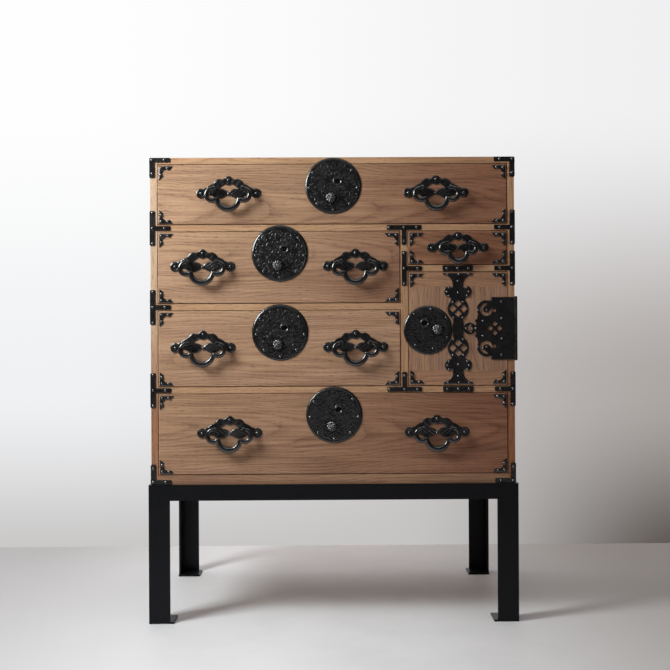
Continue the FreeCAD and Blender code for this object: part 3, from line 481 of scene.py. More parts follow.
door_x, door_z = 238.0, 557.15
small_share = 0.92
cut_over = 1.7
rim_places = {name: (x, z, radius) if name == "door" else
              (x + cut_over, z - (cut_over if name == "bottom_drawer" else 0.0), radius + cut_over)
              for name, (x, z, radius) in lock_places.items()}


def handles_of(name):
    """The handles of this drawer: the middle of each and whether it's a large one."""
    return [place for bail_name, place in handle_places.items() if bail_name.startswith(name)]


def on_circle(x, z, radius, turns):
    """Points on a circle in the plane of the front; turns are angles in radians."""
    return [(x + radius * math.cos(turn), z + radius * math.sin(turn)) for turn in turns]


def ring_turns(sides):
    return [2 * math.pi * i / sides for i in range(sides)]


for name in drawers:
    print(name, [(round(x, 1), round(z, 1)) for x, z, large in handles_of(name)])

# %% [markdown]
# ## Drawer fronts with eased edges
# A drawer front is planed a little smaller than its opening, and its long edges are eased, so a dark
# line shows below it and a thin light one along its top. The CAD solid runs on the very bottom of the
# opening, because that is where it slides. A copy keeps all its holes, and only its lowest and highest
# edges move, by a millimetre or less.

# %% Ease the fronts
for name in drawers:
    low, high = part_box(name + "_front")
    front = nodes[name + "_front"]
    piece = new_piece(name + "_front_eased", [], [], front.data.materials[0])
    form = welded(front)
    form.to_mesh(piece.data)
    form.free()
    for vertex in piece.data.vertices:
        if vertex.co.z < low.z + 1.3 * mm:
            vertex.co.z += 1.0 * mm
        elif vertex.co.z > high.z - 1.3 * mm:
            vertex.co.z += 0.6 * mm
    finish_piece(piece, name, [name + "_front"])

# %% [markdown]
# ## Nails
# Every iron is held by dome-headed nails, each a little different because they are hammered by hand.
# Modelling nearly three hundred domes one by one would be slow, so Geometry Nodes puts one small
# dome on each point of a scattered mesh. The point's "facing" says which way the nail's head looks.
# One tree serves all bodies, and each body gets its own mesh so that it can move.

# %% The nail tree
nailing, given, ends = grouped("GeometryNodeTree", "nail_heads", [
    ("Points", "Geometry", None), ("Head radius", "Float", 3.1 * mm), ("Head height", "Float", 2.3 * mm),
    ("Unevenness", "Float", 0.06), ("Seed", "Int", 7), ("Finish", "Material", None)], [("Heads", "Geometry")])
squat = nailing.vector(given["Head radius"], given["Head radius"], given["Head height"])
facing = nailing.add("GeometryNodeInputNamedAttribute", {"Name": "facing"}, data_type="FLOAT_VECTOR")
aim = nailing.wire("FunctionNodeAlignRotationToVector", {"Vector": facing.outputs["Attribute"]}, axis="Z")
sizes = nailing.chance(nailing.minus(1.0, given["Unevenness"]),
                       nailing.plus(1.0, given["Unevenness"]), given["Seed"])
dome = nailing.moved(nailing.ball(12, 7), Scale=squat)
heads = nailing.copies(given["Points"], dome, Rotation=aim, Scale=sizes)
nailing.feed(ends, {"Heads": nailing.dressed(heads, given["Finish"])})
print("nail nodes:", len(nailing.tree.nodes))


def nails(body, places, radius=3.1):
    """One mesh of nail heads; places are (x, y, z) or (x, y, z, facing) in millimetres."""
    piece = new_piece(body + "_nails", [Vector(p[:3]) * mm for p in places], [], nail_iron)
    facing = piece.data.attributes.new("facing", "FLOAT_VECTOR", "POINT")
    ways = [p[3] if len(p) > 3 else (0, -1, 0) for p in places]
    facing.data.foreach_set("vector", [part for way in ways for part in way])
    run_tree(nailing, piece, {"Head radius": radius * mm, "Seed": len(places), "Finish": nail_iron})
    finish_piece(piece, body)


# %% [markdown]
# The case's own irons are nailed at every crossing and at the end of every arm. At the sides the irons
# turn the corner, and four or five more nails hold each return.

# %% Nails of the case
post_x, arm_x, corner_x, return_x = 341.8, 318.6, 342.2, 347.2
case_nails = []


def front_nails(*places):
    case_nails.extend((x, case_iron_front, z) for x, z in places)


def return_nails(sign, places, x=return_x):
    """Nails that look sideways, on the part of an iron that turns the corner; places are (y, z)."""
    case_nails.extend((sign * x, y, z, (sign, 0, 0)) for y, z in places)


for sign in (-1, 1):
    for row in (750.0, 600.0 if sign < 0 else 672.0, 442.0):
        front_nails((sign * post_x, row), (sign * arm_x, row),
                    (sign * post_x, row + 29.3), (sign * post_x, row - 29.3))
        return_nails(sign, [(-168.0, row + rise) for rise in (-24, 0, 24)])
        return_nails(sign, [(-183.0, row + rise) for rise in (-12, 12)])
    for corner, way in ((884.0, -1), (263.0, 1)):
        front_nails((sign * corner_x, corner + way * 4.2), (sign * arm_x, corner + way * 4.2),
                    (sign * corner_x, corner + way * 30.3))
        return_nails(sign, [(y, corner + way * rise) for rise in (6.5, 31.5) for y in (-184, -170)])
for row, way in ((750.0, -1), (442.0, 1)):
    front_nails((107.5, row), (136.0, row), (160.5, row), (136.0, row + way * 26.0))
front_nails(*[(136.0, 672.0 + rise) for rise in (-29.0, 0.0, 29.0)], (162.0, 672.0))
front_nails(*[(door_x + x, row) for row in (672.0, 442.0) for x in (-20.5, 0.0, 20.5)])
return_nails(1, [(-178.0, door_z + rise) for rise in (-48, -24, 0, 24, 48)], x=347.8)
nails("root", case_nails)

# %% [markdown]
# Each corner iron takes three nails, each handle plate four, and each round lock seven near its rim.

# %% Nails of the drawers
lock_nail_share = 0.855


def plate_nails(x, z, steps):
    """Nails on the plates, given as steps from one middle."""
    return [(x + a, plate_front, z + b) for a, b in steps]


def corner_nails(node_name):
    low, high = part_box(node_name)
    found = []
    for x, x_way in ((low.x / mm + 2.5, 1), (high.x / mm - 2.5, -1)):
        for z, z_way in ((low.z / mm + 2.5, 1), (high.z / mm - 2.5, -1)):
            found += plate_nails(x, z, [(x_way * a, z_way * b)
                                        for a, b in ((4.2, 4.2), (16.5, 3.8), (3.8, 16.5))])
    return found


def lock_nails(x, z, radius):
    turns = map(math.radians, (40, -5, -48, -90, -132, -175, 147))
    return plate_nails(0, 0, on_circle(x, z, lock_nail_share * radius, turns))


for name in drawers:
    found = corner_nails(name + "_front")
    for x, z, is_large in handles_of(name):
        ends, crown = (52.4, 25.6) if is_large else (49.7, 23.6)
        found += plate_nails(x, z, ((-ends, 0), (ends, 0), (0, crown), (0, -0.8)))
    if name in lock_places:
        found += lock_nails(*rim_places[name])
    nails(name, found)

# %% [markdown]
# The door's strap, its link and the pierced hinge plate are nailed most closely of all. The places are
# given as steps from the door's middle, once for the upper half, and mirrored for the lower one.

# %% Nails of the door
strap_nails = [(-19.6, 103.2), (1.6, 103.2), (20.6, 103.2), (0.0, 90.2),
               (-17.4, 78.0), (-20.5, 70.0), (-17.4, 62.4), (17.4, 78.0), (20.5, 70.0), (17.4, 62.4),
               (0.0, 68.6), (-9.8, 50.3), (9.8, 50.3), (-9.0, 20.8), (9.0, 20.8)]
link_nails = [(15.7, 0.0), (24.6, 6.2), (24.6, -6.2), (33.8, 0.0)]
leaf_nails = [(82.5, 50.8), (83.2, 19.3), (47.4, 37.6), (38.4, 35.4), (54.4, 34.6), (47.6, 14.2),
              (63.4, 55.0)]
lock_nails_by_eye = [(154.6, 585.0), (186.4, 594.4), (215.2, 577.6), (216.6, 540.4), (190.0, 519.6),
                     (156.6, 526.4)]
found = plate_nails(door_x, door_z, [(x, way * z) for x, z in strap_nails + leaf_nails for way in (-1, 1)])
found += plate_nails(door_x, door_z, link_nails)
lock_x, lock_z, lock_r = lock_places["door"]
found = [p for p in found if math.hypot(p[0] - lock_x, p[2] - lock_z) > lock_r + 3.0]
found += plate_nails(0, 0, lock_nails_by_eye) + corner_nails("door_end_rails")
nails("door", found, 2.7)

# %% [markdown]
# ## Drop handles
# A drop handle is one forged bar: two pins that turn in the posts' eyes, a round lobe at each side that
# comes to a cusp, and a thicker bow that the fingers hold. A smith draws the bar down towards the
# cusps, so its radius changes all along. Each part is swept as a closed tube, and a voxel remesh melts
# the tubes into one skin, as forge welding does.

# %% Tubes along a path
def tube(rings):
    """A closed skin over rings of points, with a flat cap on the first and the last."""
    sides, last = len(rings[0]), len(rings) - 1
    faces = []
    for i in range(last):
        for j in range(sides):
            a, b = i * sides + j, i * sides + (j + 1) % sides
            faces.append((a, b, b + sides, a + sides))
    faces += [tuple(range(sides))[::-1], tuple(range(last * sides, (last + 1) * sides))]
    return [point for ring in rings for point in ring], faces


def swept(centres, radii, flat=1.0):
    """A tube through these centres in the plane of the handle; flat thins it in depth."""
    rings, last = [], len(centres) - 1
    for i, (centre, radius) in enumerate(zip(centres, radii)):
        ahead = (centres[min(i + 1, last)] - centres[max(i - 1, 0)]).normalized()
        aside = Vector((0, 1, 0)).cross(ahead).normalized()
        rings.append([centre + aside * (radius * math.cos(turn))
                      + Vector((0, flat * radius * math.sin(turn), 0)) for turn in ring_turns(20)])
    return tube(rings)


def joined(tubes):
    points, faces = [], []
    for tube_points, tube_faces in tubes:
        faces += [tuple(v + len(points) for v in face) for face in tube_faces]
        points += tube_points
    return points, faces


def arc(middle_x, middle_z, radius, start, sweep, steps):
    turns = [math.radians(start + sweep * i / steps) for i in range(steps + 1)]
    return [Vector((x, pivot_depth, z)) for x, z in on_circle(middle_x, middle_z, radius, turns)]


# %% [markdown]
# The bow hangs in an arc through the cusps, and each lobe is most of a circle from the pin to its cusp.
# The angle at which a lobe meets the bow follows from the two radii, so the small drawer's handle is
# the same drawing with smaller numbers. A lobe starts eye_gap outside its post, and the bow runs on
# past each cusp by bow_overlap degrees, so a lobe can stop lobe_short degrees early and still join it.

# %% Forge the drop handles
eye_gap, bow_overlap, lobe_short = 2.5, 9, 4
bow_steps, lobe_steps = 40, 32


def bail_tubes(x, z, is_large):
    post, lobe_r, cusp, drop = (27.0, 12.0, 20.5, 30.5) if is_large else (21.5, 10.0, 16.5, 26.0)
    start = post + eye_gap
    turn = math.acos((cusp - start) / lobe_r)
    depth = pin_rise - lobe_r - lobe_r * math.sin(turn) + drop
    bend = (cusp ** 2 + depth ** 2) / (2 * depth)
    half = math.degrees(math.asin(cusp / bend))
    half = (180 - half if depth > bend else half) + bow_overlap
    bow = arc(x, z + bend - drop - 0.5, bend, -90 - half, 2 * half, bow_steps)
    swell = [4.0 + 1.6 * math.sin(math.pi * i / bow_steps) ** 0.8 for i in range(bow_steps + 1)]
    tubes = [swept(bow, swell, flat=0.82)]
    for sign in (-1, 1):
        lobe = arc(x + sign * start, z + pin_rise + 0.6 - lobe_r, lobe_r - 0.6, 90,
                   -sign * (90 - lobe_short + math.degrees(turn)), lobe_steps)
        taper = [3.6 + 1.3 * math.sin(math.pi * min(1.0, i / 24) / 2) for i in range(lobe_steps + 1)]
        tubes.append(swept(lobe, taper, flat=0.85))
        pin = [Vector((x + sign * way, pivot_depth, z + pin_rise)) for way in (post - 4.2, start + 3.0)]
        tubes.append(swept(pin, [2.1, 2.1]))
    return tubes


for bail_name, (x, z, is_large) in handle_places.items():
    tubes = [([p * mm for p in points], faces) for points, faces in bail_tubes(x, z, is_large)]
    piece = melted(new_piece(bail_name + "_forged", *joined(tubes), smooth_iron), 0.7)
    ease = piece.modifiers.new("ease", "SMOOTH")
    ease.factor, ease.iterations = 0.5, 2
    finish_piece(settle(piece), bail_name, [bail_name])

# %% [markdown]
# ## Embossed round locks
# The round plates are the show pieces: vines and leaves are punched up from behind so that they stand
# three quarters of a millimetre proud, inside a plain rim. The vines follow spirals, and a spiral is a
# rule, so Geometry Nodes draws them as thin wires: three rings of scrolls, with leaf rays along them.
# The plate's skin, remeshed to half a millimetre, then rises wherever a wire is near. The same plate
# with another seed gives another lock, and the keyhole's collar and the push button keep flat seats.

# %% Wires for the scrolls and leaves
emboss, given, ends = grouped("GeometryNodeTree", "embossed_scrolls", [
    ("Plate", "Geometry", None), ("Middle", "Vector", (0, 0, 0)), ("Radius", "Float", 52.0 * mm),
    ("Collar", "Vector", (0, 0, 0)), ("Button", "Vector", (0, 0, 0)), ("Relief", "Float", 0.75 * mm),
    ("Front", "Float", plate_front * mm), ("Outer scrolls", "Int", 16),
    ("Middle scrolls", "Int", 10), ("Inner scrolls", "Int", 4), ("Vine width", "Float", 1.3 * mm),
    ("Leaf width", "Float", 1.5 * mm), ("Seed", "Int", 1),
    ("Finish", "Material", None)], [("Plate", "Geometry")])


def scroll_ring(count, ring_share, scroll_share, turns, seed_shift):
    """A ring of spiral wires round the middle, every second one turned over."""
    ring = emboss.wire("GeometryNodeMeshCircle", {
        "Vertices": count, "Radius": emboss.times(given["Radius"], ring_share)})
    spiral = emboss.wire("GeometryNodeCurveSpiral", {
        "Resolution": 22, "Rotations": turns, "Start Radius": 0.9 * mm,
        "End Radius": emboss.times(given["Radius"], scroll_share), "Height": 0.0})
    odd = emboss.sums("MODULO", emboss.wire("GeometryNodeInputIndex"), 2.0)
    mirror = emboss.vector(1.0, emboss.line(odd, -2.0, 1.0), 1.0)
    spin = emboss.chance(0.0, 6.283, emboss.plus(given["Seed"], float(seed_shift)))
    return emboss.wire("GeometryNodeInstanceOnPoints", {
        "Points": ring, "Instance": spiral, "Rotation": emboss.vector(z=spin), "Scale": mirror})


def leaf_ray(turn, length):
    """A short bowed wire; five of them from one point are the bones of a leaf."""
    way = math.radians(turn)
    (tip,), (bend,) = on_circle(0, 0, length * mm, [way]), on_circle(0, 0, 0.55 * length * mm, [way - 0.35])
    return emboss.wire("GeometryNodeCurveQuadraticBezier", {
        "Resolution": 4, "Start": (0, 0, 0), "Middle": (*bend, 0), "End": (*tip, 0)})


vines = emboss.together(*[scroll_ring(*ring) for ring in (
    (given["Outer scrolls"], 0.73, 0.150, 1.3, 0), (given["Middle scrolls"], 0.43, 0.150, 1.2, 5),
    (given["Inner scrolls"], 0.17, 0.130, 1.1, 9))])
vines = emboss.wire("GeometryNodeRealizeInstances", {0: vines})
stops = emboss.add("GeometryNodeCurveToPoints", {"Curve": vines, "Count": 7}, mode="COUNT").outputs
leaf = emboss.together(*[leaf_ray(turn, length) for turn, length in (
    (42, 7.4), (78, 5.4), (10, 5.6), (-62, 5.0), (-100, 3.6))])
leaves = emboss.copies(stops["Points"], leaf, Rotation=stops["Rotation"])
print("nodes for the wires:", len(emboss.tree.nodes))

# %% [markdown]
# The relief is a field over the plate's front. It is high beside a wire and fades over the wire's
# width, with a fine punched ground between, a raised line inside the rim, and a bevel at the edge.
# Round the collar and the button it fades out. Only points on the plate's front face may move.

# %% The relief of the plate
def nearness(wires, width):
    """One on a wire, falling to nothing at this width. The wires stand up in the plate's plane first."""
    edges = emboss.wire("GeometryNodeCurveToMesh", {"Curve": wires})
    stood = emboss.moved(edges, Translation=given["Middle"], Rotation=(math.pi / 2, 0, 0))
    near = emboss.add("GeometryNodeProximity", {0: stood}, target_element="EDGES").outputs["Distance"]
    return emboss.ramp(emboss.over(near, width), 1.0, 0.0)


def distance_to(name):
    """How far a point is from this spot, seen from the front."""
    return emboss.vectors("DISTANCE", emboss.vectors("MULTIPLY", place, (1, 0, 1)),
                          emboss.vectors("MULTIPLY", given[name], (1, 0, 1)))


place = emboss.wire("GeometryNodeInputPosition")
from_middle = emboss.over(distance_to("Middle"), given["Radius"])
leaf_high = emboss.times(nearness(leaves, given["Leaf width"]), 0.95)
pattern = emboss.sums("MAXIMUM", nearness(vines, given["Vine width"]), leaf_high)
punched = emboss.wire("ShaderNodeTexVoronoi", {"Vector": place, "Scale": 340.0}, feature="SMOOTH_F1")
pattern = emboss.sums("MAXIMUM", pattern, emboss.times(punched, 0.6))
field = emboss.ramp(from_middle, 0.895, 0.865)
clear_collar = emboss.ramp(distance_to("Collar"), 8.6 * mm, 10.4 * mm)
clear_button = emboss.ramp(distance_to("Button"), 10.2 * mm, 12.2 * mm, 0.2, 1.0)
pattern = emboss.times(emboss.times(pattern, field), emboss.times(clear_collar, clear_button))
rim = emboss.times(emboss.ramp(from_middle, 0.905, 0.92), emboss.ramp(from_middle, 0.955, 0.945))
pattern = emboss.sums("MAXIMUM", pattern, emboss.times(rim, 0.6))
bevel = emboss.times(emboss.ramp(from_middle, 0.955, 1.0), 1.25 * mm)
rise = emboss.plus(emboss.times(pattern, emboss.times(given["Relief"], -1.0)), bevel)
off_front = emboss.minus(emboss.parts(place)[1], given["Front"])
at_front = emboss.wire("FunctionNodeCompare", {
    "A": emboss.sums("ABSOLUTE", off_front), "B": 0.2 * mm}, data_type="FLOAT", operation="LESS_THAN")
raised = emboss.wire("GeometryNodeSetPosition", {
    "Geometry": given["Plate"], "Selection": at_front, "Offset": emboss.vector(y=rise)})
emboss.feed(ends, {"Plate": emboss.dressed(raised, given["Finish"])})
print("embossing nodes:", len(emboss.tree.nodes))

# %% [markdown]
# A CAD node's mesh is loose triangles. A copy is merged, and split into its closed shells, so that the
# sheet irons can be worked while the posts and cases behind them keep their exact shape. A shell is a
# sheet when no part of it lies deeper than sheet_depth. Behind lock_back or iron_back nobody sees a
# worked sheet, so its mesh is thinned there.

# %% Split a CAD node into its shells
sheet_depth = -193.0
lock_back, iron_back = -194.0, -194.2


def shells(node_name):
    """The closed shells of a node: points, faces, and the front-most and rear-most depths in millimetres."""
    form = welded(nodes[node_name])
    form.verts.index_update()
    seen, found = set(), []
    for first in form.verts:
        if first.index in seen:
            continue
        stack, members = [first], []
        seen.add(first.index)
        while stack:
            vertex = stack.pop()
            members.append(vertex)
            for edge in vertex.link_edges:
                other = edge.other_vert(vertex)
                if other.index not in seen:
                    seen.add(other.index)
                    stack.append(other)
        number = {vertex.index: i for i, vertex in enumerate(members)}
        faces = {face for vertex in members for face in vertex.link_faces}
        faces = [tuple(number[v.index] for v in face.verts) for face in sorted(faces, key=lambda f: f.index)]
        depths = [v.co.y / mm for v in members]
        found.append(([v.co.copy() for v in members], faces, min(depths), max(depths)))
    form.free()
    return found


def thinned_back(piece, back):
    """Merges faces behind a worked sheet, which nobody sees, and keeps the front's fine mesh."""
    hidden = piece.vertex_groups.new(name="hidden")
    hidden.add([v.index for v in piece.data.vertices if v.co.y > back * mm], 1.0, "REPLACE")
    thin = piece.modifiers.new("thin", "DECIMATE")
    thin.ratio, thin.vertex_group, thin.vertex_group_factor = 0.62, "hidden", 1000.0
    settle(piece)
    piece.vertex_groups.clear()


def worked_sheet(piece, back, rest, body, node_name):
    """Thins a worked sheet, adds the untouched shells to it, and lets it stand for its CAD node."""
    thinned_back(piece, back)
    form = bmesh.new()
    form.from_mesh(piece.data)
    for points, faces, front, back in rest:
        made = [form.verts.new(p) for p in points]
        for face in faces:
            form.faces.new([made[i] for i in face])
    form.to_mesh(piece.data)
    form.free()
    finish_piece(piece, body, [node_name])


# %% [markdown]
# A lock plate is cut a little over its marked line and filed back to a bevel, which is the bright edge
# seen on the window's side. The keyhole gets a rolled collar, melted into the plate with it.

# %% Emboss the locks
def rim_grown(point, name):
    """Moves the rim of a plate out to its cut line; the holes stay in their places."""
    x, z, radius = lock_places[name]
    new_x, new_z, new_radius = rim_places[name]
    away = Vector((point.x / mm - x, 0, point.z / mm - z))
    share = min(1.0, max(0.0, (away.length / radius - 0.8) / 0.2))
    step = away.normalized() * (new_radius - radius) + Vector((new_x - x, 0, new_z - z))
    return point + step * share * mm


def collar(x, z, ring=7.2, thick=1.9, depth=plate_front - 0.5):
    """A rolled ring round a keyhole."""
    points, faces = [], []
    for i, turn in enumerate(ring_turns(32)):
        for j, roll in enumerate(ring_turns(12)):
            reach = ring + thick * math.cos(roll)
            points.append(Vector((x + reach * math.cos(turn), depth + thick * math.sin(roll),
                                  z + reach * math.sin(turn))) * mm)
            a, b, c = i * 12 + j, i * 12 + (j + 1) % 12, (i + 1) % 32 * 12
            faces.append((a, b, c + (j + 1) % 12, c + j))
    return points, faces


for number, name in enumerate(lock_places):
    x, z, radius = rim_places[name]
    every = shells(name + "_lock")
    sheets = [s for s in every if s[2] < lock_back and s[3] <= sheet_depth]
    rest = [s for s in every if s[2] >= lock_back]
    rest += [s for s in every if s[2] < lock_back and s[3] > sheet_depth]
    parts = [([rim_grown(p, name) for p in s[0]], s[1]) for s in sheets] + [collar(*key_places[name])]
    piece = melted(new_piece(name + "_lock_embossed", *joined(parts), plate_iron), 0.55)
    (key_x, key_z), (button_x, button_z) = key_places[name], button_places[name]
    run_tree(emboss, piece, {
        "Middle": (x * mm, plate_front * mm, z * mm), "Radius": radius * mm, "Seed": 3 + 11 * number,
        "Collar": (key_x * mm, 0, key_z * mm), "Button": (button_x * mm, 0, button_z * mm),
        "Relief": (0.75 if name != "door" else 0.7) * mm, "Finish": plate_iron})
    worked_sheet(piece, lock_back, rest, name, name + "_lock")

# %% [markdown]
# ## Rosettes on the push buttons
# The button that frees each lock is a small chrysanthemum. Its petals are one shape set round a circle
# twice, a wide tier and a narrow one, with a bead in the middle: a pattern for Geometry Nodes again.
# The solid dome of the CAD model stays underneath, and the petals lie on it.

# %% The rosette tree
rosette, given, ends = grouped("GeometryNodeTree", "rosette", [
    ("Place", "Geometry", None), ("Petals", "Int", 10), ("Petal length", "Float", 3.9 * mm),
    ("Petal width", "Float", 2.3 * mm), ("Petal height", "Float", 2.0 * mm), ("Bead", "Float", 2.8 * mm),
    ("Finish", "Material", None)], [("Rosette", "Geometry")])


def petal_ring(ring_radius, rise, share, tilt):
    """One tier of petals, each leaning outwards by the tilt."""
    ring = rosette.wire("GeometryNodeMeshCircle", {"Vertices": given["Petals"], "Radius": ring_radius * mm})
    aim = rosette.wire("FunctionNodeAlignRotationToVector", {
        "Vector": rosette.wire("GeometryNodeInputPosition")}, axis="X")
    lean = rosette.wire("FunctionNodeRotateRotation", {0: aim, 1: (0, tilt, 0)}, rotation_space="LOCAL")
    size = rosette.vector(given["Petal length"], given["Petal width"], given["Petal height"])
    tier = rosette.wire("GeometryNodeInstanceOnPoints", {
        "Points": ring, "Instance": rosette.ball(10, 6), "Rotation": lean,
        "Scale": rosette.vectors("MULTIPLY", size, (share, share, 1.0))})
    return rosette.moved(tier, Translation=(0, 0, rise * mm))


bead = rosette.moved(rosette.ball(14, 8, given["Bead"]), Translation=(0, 0, 4.1 * mm), Scale=(1, 1, 0.75))
flower = rosette.together(petal_ring(6.9, 1.9, 1.0, 0.50), petal_ring(3.6, 3.6, 0.62, 0.25), bead)
heads = rosette.copies(given["Place"], rosette.moved(flower, Rotation=(math.pi / 2, 0, 0)))
rosette.feed(ends, {"Rosette": rosette.dressed(heads, given["Finish"])})
print("rosette nodes:", len(rosette.tree.nodes))

# %% [markdown]
# Each button gets its rosette as a piece of its own, because it's pressed in with the button.

# %% Set the rosettes
button_height, petal_gap = 3.3, 0.9
for name, (x, z) in button_places.items():
    seat = Vector((x, plate_front - button_height - petal_gap, z)) * mm
    piece = new_piece(name + "_rosette", [seat], [], nail_iron)
    run_tree(rosette, piece, {"Finish": nail_iron})
    finish_piece(piece, name + "_lock_button")

# %% [markdown]
# ## Worked sheet irons
# Corner irons and handle plates are cut from sheet with a chisel, then filed and chased: their edges
# are rounded over, a fine line runs inside the edge, and the crown has ribs like a fan. The sheet's
# mesh is made even, and each point of its front face then moves by how far it is from the cut edge.

# %% Round over and chase a sheet
edge_drop, edge_width = 0.45, 1.3


def chased(piece, pattern):
    """Rounds the edges of a sheet's front and adds the pattern; pattern(x, z, edge) is in millimetres."""
    shape = piece.data
    places, ways = np.empty(len(shape.vertices) * 3), np.empty(len(shape.vertices) * 3)
    shape.vertices.foreach_get("co", places)
    shape.vertex_normals.foreach_get("vector", ways)
    places, ways = places.reshape(-1, 3) / mm, ways.reshape(-1, 3)
    side = np.nonzero(np.abs(ways[:, 1]) < 0.8)[0]
    front = np.nonzero(np.abs(places[:, 1] - plate_front) < 0.2)[0]
    rim = kdtree.KDTree(len(side))
    for i in side:
        rim.insert((places[i, 0], 0, places[i, 2]), int(i))
    rim.balance()
    for i in front:
        edge = rim.find((places[i, 0], 0, places[i, 2]))[2]
        drop = edge_drop * max(0.0, 1 - edge / edge_width) ** 2
        places[i, 1] += drop - pattern(places[i, 0], places[i, 2], edge)
    shape.vertices.foreach_set("co", (places * mm).ravel())
    shape.update()


def line_inside(edge, at, width, high):
    """A raised line that follows the cut edge at this distance from it."""
    return high * math.exp(-((edge - at) / width) ** 2)


# %% [markdown]
# The pattern depends on where a point lies on its handle plate: ribs fan out over the crown, slanting
# veins fill the middle between the posts, and the two round ends carry one line each. The corner irons
# are far from any handle and get the fine line only. The limits below say which zone is which, in
# millimetres from the middle of the plate: to the side, and up.

# %% The pattern of the handle plates
plate_half, plate_rise, end_from = 63, 36, 43
crown_half, crown_from = 31, 10
veins_half, veins_from, veins_to = 29, -11, 6.5


def drawer_chasing(name):
    """The ribs and veins of this drawer's handle plates."""
    handles = handles_of(name)

    def pattern(x, z, edge):
        close = [(x - hx, z - hz) for hx, hz, large in handles if abs(x - hx) < plate_half]
        if not close or abs(close[0][1]) > plate_rise:
            return line_inside(edge, 2.2, 0.7, 0.22)
        (u, w), away = close[0], abs(close[0][0])
        fade = min(1.0, max(0.0, (edge - 0.9) / 1.2))
        if w > crown_from and away < crown_half:
            fan = math.cos(20 * math.atan2(u, w + 9))
            return fade * (0.30 + 0.24 * fan)
        if veins_from < w < veins_to and away < veins_half:
            vein = math.cos(2 * math.pi * (away * 0.55 - w * 0.8) / 5.2)
            return fade * (0.34 + 0.26 * vein)
        if away > end_from:
            return line_inside(edge, 2.4, 0.8, 0.5)
        return fade * (0.34 + 0.16 * math.cos(2 * math.pi * away / 5.0))
    return pattern


# %% [markdown]
# The CAD model's crowns have plain edges. Real ones are scalloped, so thin round lobes are laid along
# each crown's edge and melted into the sheet, and a hollow is filed on each side of the middle lobe.

# %% Lobes and hollows of the crowns
def boss(x, z, radius):
    """A thin round lobe in the plane of the plates, to melt into a crown."""
    ring = on_circle(x, z, radius, ring_turns(28))
    return tube([[Vector((a, depth, b)) * mm for a, b in ring] for depth in (plate_front, plate_front + 1.6)])


def crown_lobes(name):
    """The scalloped edge of each crown: one lobe at its top and four down each side."""
    lobes = []
    for x, z, is_large in handles_of(name):
        size = 1.0 if is_large else small_share
        lobes += [boss(x + size * a, z + size * b, size * r) for a, b, r in (
            (0.0, 24.2, 9.2), (-15.6, 19.6, 6.6), (15.6, 19.6, 6.6), (-31.0, 9.6, 7.4), (31.0, 9.6, 7.4),
            (-42.5, 4.0, 7.2), (42.5, 4.0, 7.2), (-52.4, -0.6, 9.0), (52.4, -0.6, 9.0))]
    return lobes


hollow_at, hollow_half, hollow_deep, crown_top = 12, 5.5, 3.2, 20


def hollowed_crowns(piece, name):
    """Files a hollow into each crown's outer edge, on each side of its middle lobe."""
    for x, z, is_large in handles_of(name):
        size = (1.0 if is_large else small_share) * mm
        for vertex in piece.data.vertices:
            u, w = abs(vertex.co.x - x * mm) / size, (vertex.co.z - z * mm) / size
            if u < 26 and w > crown_top:
                deep = hollow_deep * math.exp(-((u - hollow_at) / hollow_half) ** 2)
                vertex.co.z -= deep * min(1.0, (w - crown_top) / 8) * size


# %% [markdown]
# Now each node of sheet irons is worked: melted with its lobes into one skin, hollowed and chased.
# Whatever lies behind the sheet, such as the posts' shanks, is put back untouched.

# %% Work the sheet irons
def worked_irons(node_name, body, pattern):
    every = shells(node_name)
    sheets = [s for s in every if s[3] < sheet_depth] + crown_lobes(body)
    rest = [s for s in every if s[3] >= sheet_depth]
    piece = melted(new_piece(node_name + "_chased", *joined([s[:2] for s in sheets]), plate_iron), 0.6)
    hollowed_crowns(piece, body)
    chased(piece, pattern)
    worked_sheet(piece, iron_back, rest, body, node_name)


def door_chasing(x, z, edge):
    fade = min(1.0, max(0.0, (edge - 0.8) / 1.5))
    return line_inside(edge, 2.1, 0.7, 0.22) + fade * 0.12 * math.cos(x * 1.1) * math.cos(z * 0.9)


for name in drawers:
    worked_irons(name + "_irons", name, drawer_chasing(name))
worked_irons("door_irons", "door", door_chasing)

# %% [markdown]
# ## The stage and the light
# The chest stands in front of a white wall, lit by a window at its upper left. The floor is a pale
# plane that takes the shadow, and has painted shade towards the left and the right. The wall only shows
# itself to the camera, from its front, and casts nothing, so the object is lit by the lamps alone and any
# other view stays clear. Its colour is painted light and shade: bright near the window, darker to the
# right, and darkest low at the right.

# %% Floor and wall
def stage_sheet(name, corners, finish):
    sheet = new_piece(name, corners, [(0, 1, 2, 3)], finish)
    return sheet


floor_with_painted_shade, bench, shader = material("floor_with_painted_shade")
place = bench.place()
mottle = bench.ramp(bench.noise(place, 5.0, 6.0, 0.62), 0.36, 0.64, 0.0, 0.16)
across = bench.parts(place)[0]
# painted light and shade: the floor is brightest in the middle, darker towards the left and to the right
wear_and_floor_shade = bench.mixed(bench.ramp(across, -0.75, -0.05), paint(184, 183, 186), paint(236, 236, 239))
wear_and_floor_shade = bench.mixed(bench.ramp(across, 0.15, 0.8), wear_and_floor_shade, paint(192, 188, 185))
bench.feed(shader, {"Base Color": bench.mixed(mottle, wear_and_floor_shade, paint(196, 195, 197)), "Roughness": 0.62,
                    "Specular IOR Level": 0.3})
stage_sheet("floor", [(-4, -4, 0), (4, -4, 0), (4, 4, 0), (-4, 4, 0)], floor_with_painted_shade)

wall_with_painted_light, bench, shader = material("wall_with_painted_light")
bench.tree.nodes.clear()
spot = bench.parts(bench.place())
